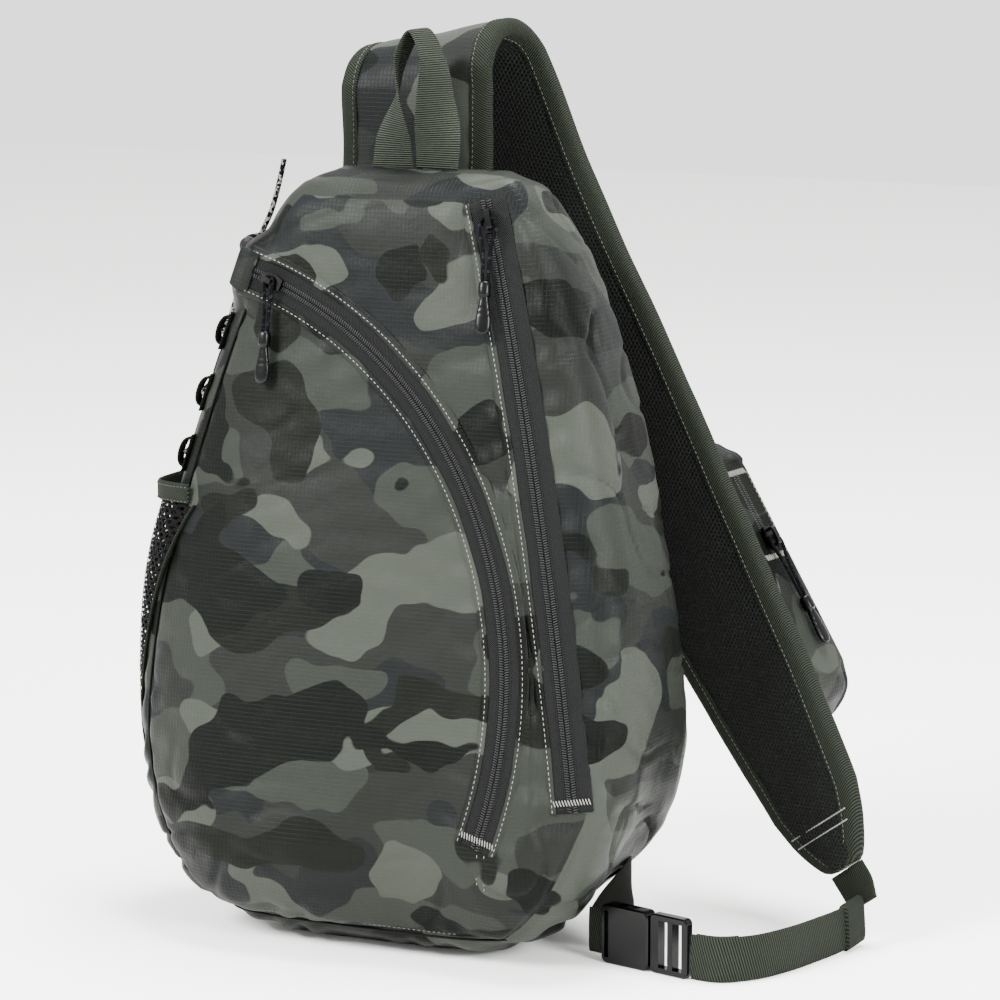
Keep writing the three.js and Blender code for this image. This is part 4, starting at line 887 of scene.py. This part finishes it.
side_seam("seam_back_left", -1)
side_seam("seam_back_right", 1)
# Dark cord of painted shadow round the base seam, 40 mm up.
turn = np.linspace(0, 2 * np.pi, 361)
half, front, back = section(np.full(361, 40.0))
ring_x = half * np.sign(np.cos(turn)) * np.abs(np.cos(turn)) ** (2 / CORNER)
ring_y = (front + back) / 2 + (back - front) / 2 * np.sign(np.sin(turn)) * np.abs(np.sin(turn)) ** (2 / CORNER)
keep = (ring_y > -70) & (np.abs(ring_x) > 100) | (ring_y > 0)
order = np.argsort(np.mod(turn[keep] + np.pi / 2, 2 * np.pi))
ring = np.stack([ring_x[keep], ring_y[keep], np.full(keep.sum(), 40.0)], -1)[order]
ring = ring * np.array([0.994, 0.988, 1.0])
placed(tube("seam_base_ring", ring[1:-1], 0.8, painted_seam_shadow, sides=8), "body", slot="dark_fabric")


def bar_stitch(name, line, index, reach, body="body"):
    """Dense zigzag of thread across the end of a zip."""
    at, go, side, out = (v[index] for v in line)
    k = np.linspace(-1, 1, 13)[:, None]
    centre = at + k * reach * side + 0.9 * out
    slant = unit(go + 0.3 * side)
    piece = grains(name, centre, slant, np.cross(out, slant), out, 3.6, 0.7, 0.5, white_thread)
    placed(piece, body, slot="zip_tape")


bar_stitch("front_zip_end_bar", front_zip, 2, 9.5)
bar_stitch("main_zip_end_bar", main_zip, 2, 9.5)


def garage(name, line):
    """Small folded fabric cover over the upper end of a zip."""
    at, go, side, out = (v[-1] for v in line)
    t = np.linspace(-1, 1, 20)
    path = at + np.outer(t * 6.0, go) + np.outer(1.2 + 1.6 * (1 - t**2), out)
    placed(band(name, path, side, out, 12.0 * (1 - 0.15 * np.abs(t)), 1.0, camo_lip), "body", slot="camo_fabric")


garage("front_zip_garage", front_zip)


# ---- pulls ----
def pull(prefix, at, down, out, length, swivel, bodies, cad):
    """Doubled cord from the slider's bridge to a grip with a round collar and a flat paddle."""
    go = unit(down - (down @ out) * out)
    side = np.cross(go, out)
    legs, level = 1.5, 5.5
    if swivel:
        turn = np.radians(np.arange(180, 361, 30))
        loop = np.stack([2.4 * np.cos(turn), 2.4 * np.sin(turn), np.full(7, level)], -1).tolist()
        route = [[-legs, length, 5], [-legs, 14, 5.2], [-2.2, 6, level], *loop, [2.2, 6, level], [legs, 14, 5.2],
                 [legs, length, 5]]  # fmt: skip
    else:
        route = [[-legs, length, 5], [-2.4, 14, 5.2], [-4.6, 4, level], [-3, 0, level], [0, -0.4, level],
                 [3, 0, level], [4.6, 4, level], [2.4, 14, 5.2], [legs, length, 5]]
    path = catmull(route, np.linspace(0, 1, 110))
    basis = np.stack([side, go, out])
    cord = tube(f"{prefix}_cord", at + path @ basis, 1.0, cord_black, sides=12)
    placed(cord, bodies[0], f"{cad}_pull_cord", slot="black_cord")
    profile = np.array(
        [(-0.6, 2.2, 2.2), (0, 2.8, 2.8), (1.0, 3.15, 3.15), (6.2, 3.2, 3.2), (7.3, 2.9, 2.8), (7.8, 2.45, 2.1),
         (9, 2.5, 1.9), (12, 3.0, 1.9), (16, 3.7, 1.85), (20, 4.1, 1.8), (24, 4.0, 1.7), (26.4, 3.2, 1.4),
         (27.6, 2.0, 1.0), (28.1, 0.8, 0.5)]
    )  # fmt: skip
    station = catmull(profile, np.linspace(0, 1, 66))
    angle = np.arange(32) / 32 * 2 * np.pi
    x = station[:, 1:2] * np.sign(np.cos(angle)) * np.abs(np.cos(angle)) ** 0.8
    z = station[:, 2:3] * np.sign(np.sin(angle)) * np.abs(np.sin(angle)) ** 0.8
    down_grip = station[:, :1]
    groove = 1 - 0.1 * np.exp(-(((down_grip - 14) / 0.6) ** 2)) - 0.1 * np.exp(-(((down_grip - 17) / 0.6) ** 2))
    local = np.stack([x * groove, np.broadcast_to(down_grip + length + 0.3, x.shape), z * groove + 5], -1)
    uv = np.stack(np.broadcast_arrays(down_grip, np.arange(33.0)), -1)
    grip = grid_object(f"{prefix}_grip", at + local @ basis, grip_black, uv, caps="fan")
    placed(grip, bodies[1], f"{cad}_pull_grip", slot="moulded_plastic")


DOWN = np.array([0, 0, -1.0])
slider = front_line(70, 70.01, 2)
pull("front_pull", slider[0][0], DOWN, slider[3][0], 28.0, True, ("front_cord", "front_grip"), "front")
main_slider_angle = MAIN[6][1] - math.degrees(12 / MAIN[1])
slider = main_line(main_slider_angle, main_slider_angle + 0.001, 2)
pull("main_pull", slider[0][0], DOWN, slider[3][0], 34.0, False, ("main_pull", "main_pull"), "main")

# ---- grab handle ----
HANDLE = [(-21.5, 17, 421), (-21.5, 18, 436), (-19.5, 19, 458), (-17, 20, 482), (-8, 21, 496),
          (1, 20, 482), (3.5, 19, 458), (5.5, 18, 436), (5.5, 17, 421)]  # fmt: skip
HANDLE_ACROSS = [(1, 0, 0), (0.97, -0.25, 0), (0.5, -0.85, 0), (0.1, -0.98, 0), (0, -1, 0),
                 (-0.1, -0.98, 0), (-0.5, -0.85, 0), (-0.97, -0.25, 0), (-1, 0, 0)]  # fmt: skip
at, go, side, out = frames_through(HANDLE, HANDLE_ACROSS, 150)
handle = band("handle_webbing", at, side, out, 12.5, 1.8, handle_web)
placed(handle, None, "grab_handle", slot="webbing")
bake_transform(handle)


# ---- shoulder strap ----
STRAP_STEPS = 280


def strap_line():
    """Line and across vectors of the strap: up behind the handle, round a slanted fold, down to the right."""
    slant = math.radians(11.5)
    axis = np.array([math.cos(slant), 0, math.sin(slant)])
    up = np.array([-math.sin(slant), 0, math.cos(slant)])
    fore = np.array([0, -1.0, 0])
    angle = np.radians(np.arange(0, 181, 30))[:, None]
    radial = fore * np.cos(angle) + up * np.sin(angle)
    round_it = -fore * np.sin(angle) + up * np.cos(angle)
    fold = np.array([-25, 78.0, 461]) + 23 * radial + axis * 23 * angle * math.tan(slant)
    fold_across = axis * math.cos(slant) - round_it * math.sin(slant)
    places = [(-25, 53, 405), (-25, 55, 430), *fold, (22, 104, 388), (76, 99, 292), (130, 92, 197),
              (172, 84, 131), (209, 74, 74), (230, 67, 41)]  # fmt: skip
    across = [(1, 0, 0), (1, 0, 0), *fold_across, (0.88, -0.06, 0.45), (0.86, -0.12, 0.5), (0.85, -0.2, 0.48),
              (0.81, -0.28, 0.5), (0.79, -0.32, 0.52), (0.79, -0.32, 0.52)]  # fmt: skip
    halves = [45, 45, *[45.5] * 7, 46, 45, 43, 40, 33, 18]
    return *frames_through(places, across, STRAP_STEPS), along(halves, np.linspace(0, 1, STRAP_STEPS + 1))


strap_at, strap_go, strap_side, strap_out, strap_half = strap_line()
strap_run = lengths(strap_at)
to_end = np.clip((strap_run[-1] - strap_run) / 26, 0, 1)
strap_half = strap_half * (0.52 + 0.48 * np.sqrt(1 - (1 - to_end) ** 2))


def strap_shell(name, sign, material, nodes, slot):
    """Outer or inner face of the padded strap: puffed between the bindings by 1-|a|^5, with puckers towards
    its edges and slow ripples; flat on the foam's middle plane underneath."""
    w = np.linspace(-1, 1, 64)
    run = strap_run[:, None]
    reach = (strap_half - 2.2)[:, None]
    pucker = np.sin(run / 3.6 + 1.5 * np.sin(run / 21) + w * 1.2) * smooth(np.abs(w), 0.45, 0.9)
    spot = strap_at[:, None] + w[None, :, None] * reach[..., None] * strap_side[:, None]
    slow = ripple(spot, 46, 41 + int(sign))
    thick = (3.6 + 2.6 * (1 - np.abs(w) ** 5)) + 0.28 * pucker + 0.5 * slow * (1 - w**4)
    top_a = w * reach
    a = np.concatenate([top_a, top_a[:, ::-1]], 1)
    t = np.concatenate([sign * thick, np.full_like(thick, sign * 0.15)], 1)
    return placed(loop_along(name, strap_at, strap_side, strap_out, a, t, material), "strap", *nodes, slot=slot)


outer = strap_shell("strap_outer_fabric", 1.0, camo_strap, ("strap_cover", "strap_foam"), "camo_fabric")
strap_shell("strap_inner_mesh", -1.0, mesh_lining, ("strap_mesh_lining",), "spacer_mesh")


def strap_binding(name, sign, node):
    """Tape folded over one edge of the strap, as a C-shaped loop, with a row of stitches on each face."""
    top = np.array([(10.5, 5.9), (8.0, 5.95), (4.0, 5.6), (1.4, 4.6), (0.2, 2.6), (-0.3, 0.0)])
    face = np.concatenate([top, top[::-1][1:] * np.array([1, -1])])
    height = face[:, 1:2]
    inner = face + np.array([0.9, 0.0]) - 0.9 * np.sign(height) * np.array([0, 1.0]) * (np.abs(height) > 1)
    ring = np.concatenate([face, inner[::-1]])
    s = strap_run[:, None]
    ripple_edge = 0.22 * np.sin(s / 3.9 + 1.2 * np.sin(s / 19))
    a = sign * (strap_half[:, None] - ring[None, :, 0] + 0.4) + 0.25 * np.sin(s / 11)
    t = ring[None, :, 1] * (1 + 0.05 * ripple_edge)
    placed(loop_along(name, strap_at, strap_side, strap_out, a, t, binding), "strap", node, slot="binding_tape")
    for label, way in (("out", 1), ("in", -1)):
        line = strap_at + strap_side * (sign * (strap_half - 8.4))[:, None] + strap_out * way * 5.9
        threads = stitches(f"{name}_stitch_{label}", line, strap_out * way, grey_thread, 3.0, 2.0, 0.5, 0.35)
        placed(threads, "strap", slot="binding_tape")


strap_binding("strap_binding_fabric_left", -1.0, "strap_binding_left")
strap_binding("strap_binding_fabric_right", 1.0, "strap_binding_right")
for number, back in enumerate((26, 33)):
    row = STRAP_STEPS - int(back * STRAP_STEPS / strap_run[-1])
    span = np.linspace(-0.8, 0.8, 22)[:, None] * strap_half[row] * strap_side[row]
    bar = strap_at[row] + span - strap_out[row] * 5.9
    axes = strap_side[row], strap_go[row], -strap_out[row]
    placed(grains(f"strap_bar_{number}", bar, *axes, 2.0, 0.9, 0.6, white_thread), "strap", slot="binding_tape")

# ---- strap pocket ----
POCKET_X = unit(np.array([0.529352, -0.091537, -0.84345]))
POCKET_OUT = unit(np.array([0.231567, 0.972003, 0.039844]))
POCKET_SIDE = np.cross(POCKET_OUT, POCKET_X)
POCKET_BASIS = np.stack([POCKET_X, POCKET_SIDE, POCKET_OUT])
POCKET_AT = np.array([142.468, 97.197, 179.73])
POCKET_ZIP_SIDE, POCKET_ZIP_OUT = -33.6, 17.0


def pocket_shell():
    """Rounded box of fabric: the outline is a rectangle with round corners, walls rise straight, turn over a
    7 mm edge and run to the middle of a face that swells 3 mm."""
    n = 200
    turn = np.linspace(0, 2 * np.pi, n, endpoint=False)
    corner, hx, hy = 28.0, 86.0, 35.0
    quarter = np.floor(turn / (np.pi / 2)).astype(int) % 4
    cx = np.array([1, -1, -1, 1])[quarter] * (hx - corner)
    cy = np.array([1, 1, -1, -1])[quarter] * (hy - corner)
    ring = np.stack([cx + corner * np.cos(turn), cy + corner * np.sin(turn)], -1)
    s = lengths(np.concatenate([ring, ring[:1]]))
    even = np.linspace(0, s[-1], n, endpoint=False)
    ring = np.stack([np.interp(even, s, np.append(ring[:, k], ring[0, k])) for k in (0, 1)], -1)
    chord = np.roll(ring, -1, 0) - np.roll(ring, 1, 0)
    normal = unit(np.stack([chord[:, 1], -chord[:, 0]], -1))
    depth, r = 34.0, 7.0
    wall = np.linspace(0.2, depth - r, 24)
    bend = np.linspace(0, np.pi / 2, 14)[1:]
    height = np.concatenate([wall, depth - r + r * np.sin(bend), np.full(30, depth)])
    inset = np.concatenate([0 * wall, r * (1 - np.cos(bend)), np.full(30, r)])
    shrink = np.concatenate([np.zeros(24 + 13), np.linspace(0, 1, 31)[1:]])
    xy = (ring - normal * inset[:, None, None]) * (1 - 0.985 * shrink)[:, None, None]
    z = np.broadcast_to((height + 3.2 * (1 - (1 - shrink) ** 2))[:, None], (len(height), n))
    local = np.concatenate([xy, z[..., None]], -1)
    world = POCKET_AT + local @ POCKET_BASIS
    zip_side = (ring[:, 1] < -34.5)[None, :] & (shrink[:, None] == 0)
    soft = 0.9 * ripple(world, 34, 51) + 0.35 * ripple(world, 12, 52)
    seam = np.exp(-(((height - (depth - 6)) / 1.6) ** 2))[:, None]
    pucker = 0.5 * np.sin(even / 3.1 + 1.4 * np.sin(even / 17))[None, :]
    pucker = pucker * np.exp(-(((height - 27) / 5) ** 2))[:, None]
    move = np.where(zip_side, -0.6, soft + pucker - 1.1 * seam)
    lean = np.concatenate([normal, np.zeros((n, 1))], 1)[None] * (1 - shrink)[:, None, None]
    lean = lean + np.array([0, 0, 1.0]) * np.minimum(shrink * 6, 1)[:, None, None]
    local = local + move[..., None] * lean
    world = POCKET_AT + local @ POCKET_BASIS
    uv = np.stack(np.broadcast_arrays(np.append(even, s[-1]), (height + inset + 35 * shrink)[:, None]), -1)
    shell = grid_object("strap_pocket_fabric", world, camo_pocket, uv, caps="fan")
    placed(shell, "strap", "strap_pocket", slot="camo_fabric")


pocket_shell()
t = np.linspace(-58, -6, 60)
zip_at = POCKET_AT + np.outer(t, POCKET_X) + POCKET_ZIP_SIDE * POCKET_SIDE + POCKET_ZIP_OUT * POCKET_OUT
strap_zip = (zip_at, *(np.broadcast_to(v, (60, 3)) for v in (POCKET_X, POCKET_OUT, -POCKET_SIDE)))
zip_tapes("strap_zip", strap_zip, "strap", "strap", lip_material=camo_pocket)
bar_stitch("strap_zip_end_bar_a", strap_zip, -1, 9.0, body="strap")
bar_stitch("strap_zip_end_bar_b", strap_zip, 0, 9.0, body="strap")
slider_at = POCKET_AT - 16 * POCKET_X + POCKET_ZIP_SIDE * POCKET_SIDE + POCKET_ZIP_OUT * POCKET_OUT
pull("strap_pull", slider_at, POCKET_X, -POCKET_SIDE, 38.0, False, ("strap_pull", "strap_pull"), "strap")

# ---- strap end tab, webbing and wing ----
at, go, side, out = frames_through(
    [strap_at[-1] + 1.2 * strap_go[-1], (237, 66, 31), (242, 63.5, 22)],
    [strap_side[-1], (0.65, -0.3, 0.7), (0.35, -0.25, 0.85)], 30,
)  # fmt: skip
placed(band("strap_end_keeper", at, side, out, 13.5, 3.2, binding), "strap", "strap_end_tab", slot="binding_tape")
BUCKLE_GO = np.array([0.966, -0.257, 0])
BUCKLE_AT = np.array([127, -27, 16.5])
end = BUCKLE_AT + BUCKLE_GO * (32.3 + 25 + 1)
path = [(end[0], end[1], 12.8), (199, -42, 12.8), (214, -30, 12.8), (225, -8, 12.8), (232, 16, 12.8),
        (238, 38, 13.4), (242, 58, 15.8)]  # fmt: skip
at, go, side, out = frames_through(path, [(0, 0, 1)] * 7, 160)
lower = band("lower_webbing_band", at, side, out, 12.5, 1.7, flat_web)
placed(lower, None, "lower_webbing", slot="webbing")
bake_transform(lower)
fold = slice(138, 161)
keeper = band("webbing_keeper", at[fold], side[fold], out[fold], 13.4, 6.5, binding)
placed(keeper, None, slot="binding_tape")
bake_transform(keeper)
tail = slice(4, 44)
tail_band = band("webbing_tail_band", at[tail], side[tail], out[tail], 12.5, 1.7, flat_web, lift=1.9)
placed(tail_band, "body", "webbing_tail", slot="webbing")
stub_from, stub_to = BUCKLE_AT - 11 * BUCKLE_GO, BUCKLE_AT - 0.3 * BUCKLE_GO
stub_from[2] = stub_to[2] = 15.8
at, go, side, out = frames_through([stub_from, stub_to], [(0, 0, 1)] * 2, 12)
placed(band("buckle_stub", at, side, out, 12.5, 1.7, flat_web), "body", "buckle_webbing", slot="webbing")
at, go, side, out = frames_through(
    [(117, 26, 46), (127, 4, 36), (stub_from[0] + 3, stub_from[1] + 7, 15.8)], [(0, 0, 1)] * 3, 30
)
wing = band("wing_fabric", at, side, out, np.linspace(15, 12.5, 31), 1.8, dark_cloth)
placed(wing, "body", "side_wing", slot="dark_fabric")

# ---- bottle pocket ----
def pocket_skin(u, v, lift):
    """Mesh pocket on the left side: the skin pushed out by 13 mm x sin(pi u)^0.7 x sin(rise); the knit's face gets
    its few sags afterwards.
    """
    z = 64 + (236 - 64) * v
    y = -48 + 88 * u
    rise = np.minimum(v * 1.6, 1)
    bulge = 13 * np.sin(np.pi * u) ** 0.7 * np.sin(0.5 * np.pi * rise)
    x = skin_x(y, z, -1) - 0.6 - bulge - lift
    return np.stack([x, y, z], -1)


v, u = np.meshgrid(np.linspace(0, 1, 80), np.linspace(0.002, 0.998, 60), indexing="ij")
face = pocket_skin(u, v, 1.2)
face[..., 0] -= 0.8 * ripple(face, 40, 61) * np.sin(np.pi * u)
rear = face + np.array([1.0, 0, 0])
loop = np.concatenate([face, rear[:, ::-1]], 1)
uv = np.concatenate([loop[..., 1:], loop[:, :1, 1:]], 1)
knit = grid_object("bottle_pocket_knit", loop, mesh_open, uv, caps="ladder")
placed(knit, "body", "bottle_pocket_mesh", slot="spacer_mesh")
u = np.linspace(0.005, 0.995, 70)
mouth = pocket_skin(u, np.ones(70), 2.4)
mouth[:, 2] = 242 - 3.0 * np.sin(np.pi * u)
go = tangents(mouth)
up = np.broadcast_to(np.array([0, 0, 1.0]), mouth.shape)
out = unit(-np.cross(go, up))
placed(band("bottle_pocket_hem", mouth, up, out, 5.5, 2.2, binding), "body", "bottle_pocket_binding", slot="binding_tape")
for label, row in (("hem", 237.5), ("hem_top", 245.5)):
    line = mouth + 1.2 * out
    line[:, 2] += row - 242
    placed(stitches(f"pocket_{label}_stitch", line, out, grey_thread), "body", slot="binding_tape")
for label, u_edge in (("front", 0.0), ("back", 1.0)):
    edge = pocket_skin(np.full(60, u_edge), np.linspace(0, 1, 60), 0.4)
    edge_up = tangents(edge)
    edge_out = np.array([-1.0, 0, 0])
    tape = band(f"pocket_edge_{label}", edge, unit(np.cross(edge_out, edge_up)), edge_out, 2.6, 1.4, binding)
    placed(tape, "body", slot="binding_tape")

# ---- bungee, tabs and cord lock ----
LACING = [(-30, 262), (30, 278), (-26, 296), (28, 312), (-20, 330)]


def on_left(y, z, lift):
    """Point on the left skin at y and z, lifted off it."""
    return np.array([float(skin_x(np.array(float(y)), np.array(float(z)), -1)) - lift, y, z])


lock = on_left(4, 376, 9)
cord_up = unit(on_left(4, 392, 9) - on_left(4, 360, 9))
run = [lock + shift * cord_up for shift in (-22, -11, 0, 11, 22)]
tail_at = run[-1] + np.array([6, -1, 18])
route = [on_left(y, z, 3.4) for y, z in LACING] + [on_left(-6, 334, 5.4)] + run
route += [tail_at, np.array([tail_at[0] + 3, tail_at[1] - 1, 424.0])]
bungee = tube("bungee_braid", catmull(route, np.linspace(0, 1, 420)), 1.5, cord_speckled, sides=16)
placed(bungee, "body", "bungee_cord", slot="speckled_cord")
for number, (y, z) in enumerate(LACING):
    foot = on_left(y, z, 0)
    up = unit(on_left(y, z + 10.5, 0) - on_left(y, z - 10.5, 0))
    outward = np.cross(up, np.array([0, 1.0, 0]))
    angle = np.linspace(0, np.pi, 40)
    arch = foot - np.outer(8.4 * np.cos(angle), up) + np.outer(6.0 * np.abs(np.sin(angle)) ** 0.6, outward)
    side = np.broadcast_to(np.array([0, 1.0, 0]), arch.shape)
    out = unit(np.cross(side, tangents(arch)))
    tab = band(f"cord_loop_{number + 1}", arch, side, out, 3.6, 1.3, tab_web)
    placed(tab, "body", f"cord_tab_{number + 1}", slot="webbing")
    foot_line = foot + np.outer(np.linspace(-11, 11, 12), up) + 0.5 * outward
    pad = band(f"cord_loop_pad_{number + 1}", foot_line, np.array([0, 1.0, 0]), outward, 4.6, 1.3, tab_web)
    placed(pad, "body", slot="webbing")


# ---- moulded pieces kept from the frame, with their finishes ----
def finish_node(node, made):
    """Gives a piece of the frame its finish."""
    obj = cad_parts[node]
    obj.data.materials.clear()
    obj.data.materials.append(made)


for node in ("front_zip_slider", "main_zip_slider", "strap_zip_slider", "cord_lock_barrel"):
    finish_node(node, grip_black)
for node in ("buckle_sleeve", "buckle_plug", "buckle_prong_upper", "buckle_prong_lower"):
    finish_node(node, gloss_black)
finish_node("cord_lock_plunger", lock_grey)
steel, g, shader = material("spring_steel", 0.3, metallic=1.0)
g.link(tinted(g, colour("#a5a8aa", 0.8), g.own_place(), 0.1, 500.0), shader.inputs["Base Color"])
finish_node("cord_lock_spring", steel)


# ---- floor, lights and camera ----
def surface(name, code, roughness):
    made, g, shader = material(name, roughness)
    g.link(tinted(g, colour(code, 1.0), g.own_place(), 0.01, 3.0), shader.inputs["Base Color"])
    return made


edge = 4000.0
floor_points = np.array([(-edge, -edge, 0), (edge, -edge, 0), (edge, edge, 0), (-edge, edge, 0)])
floor = mesh_object("floor", floor_points, [[0, 1, 2, 3]], [], surface("pale_floor", "#f4f4f2", 0.6))
world = bpy.data.worlds.new("studio")
bpy.context.scene.world = world
world.use_nodes = True
world.node_tree.nodes["Background"].inputs["Color"].default_value = (1.0, 1.0, 1.0, 1.0)
world.node_tree.nodes["Background"].inputs["Strength"].default_value = 2.0


def look(direction):
    """Rotation that points an object's -Z along the direction with its Y up."""
    return Vector([float(v) for v in direction]).to_track_quat("-Z", "Y")


def area_light(name, place, size, power):
    """Square soft light aimed at the lower part of the bag; places in metres."""
    data = bpy.data.lights.new(name, "AREA")
    data.size = size
    data.energy = power
    lamp = bpy.data.objects.new(name, data)
    bpy.context.scene.collection.objects.link(lamp)
    lamp.location = place
    lamp.rotation_mode = "QUATERNION"
    lamp.rotation_quaternion = look(np.array((0.0, 0.0, 0.2)) - np.array(place))


area_light("key", (-1.3, -1.9, 1.9), 1.0, 260)
area_light("fill", (2.2, -0.9, 1.1), 0.8, 130)
area_light("top", (0.2, 0.4, 2.4), 1.0, 190)

azimuth, elevation, distance = math.radians(25), math.radians(10), 2.4
target = np.array([0.0248, 0.0568, 0.2324])
level = math.cos(elevation)
back = np.array([math.sin(azimuth) * level, -math.cos(azimuth) * level, math.sin(elevation)])
camera_data = bpy.data.cameras.new("camera")
camera_data.sensor_width = 36
camera_data.lens = 154.2
camera = bpy.data.objects.new("camera", camera_data)
bpy.context.scene.collection.objects.link(camera)
camera.location = target + distance * back
camera.rotation_mode = "QUATERNION"
camera.rotation_quaternion = look(-back)
bpy.context.scene.camera = camera
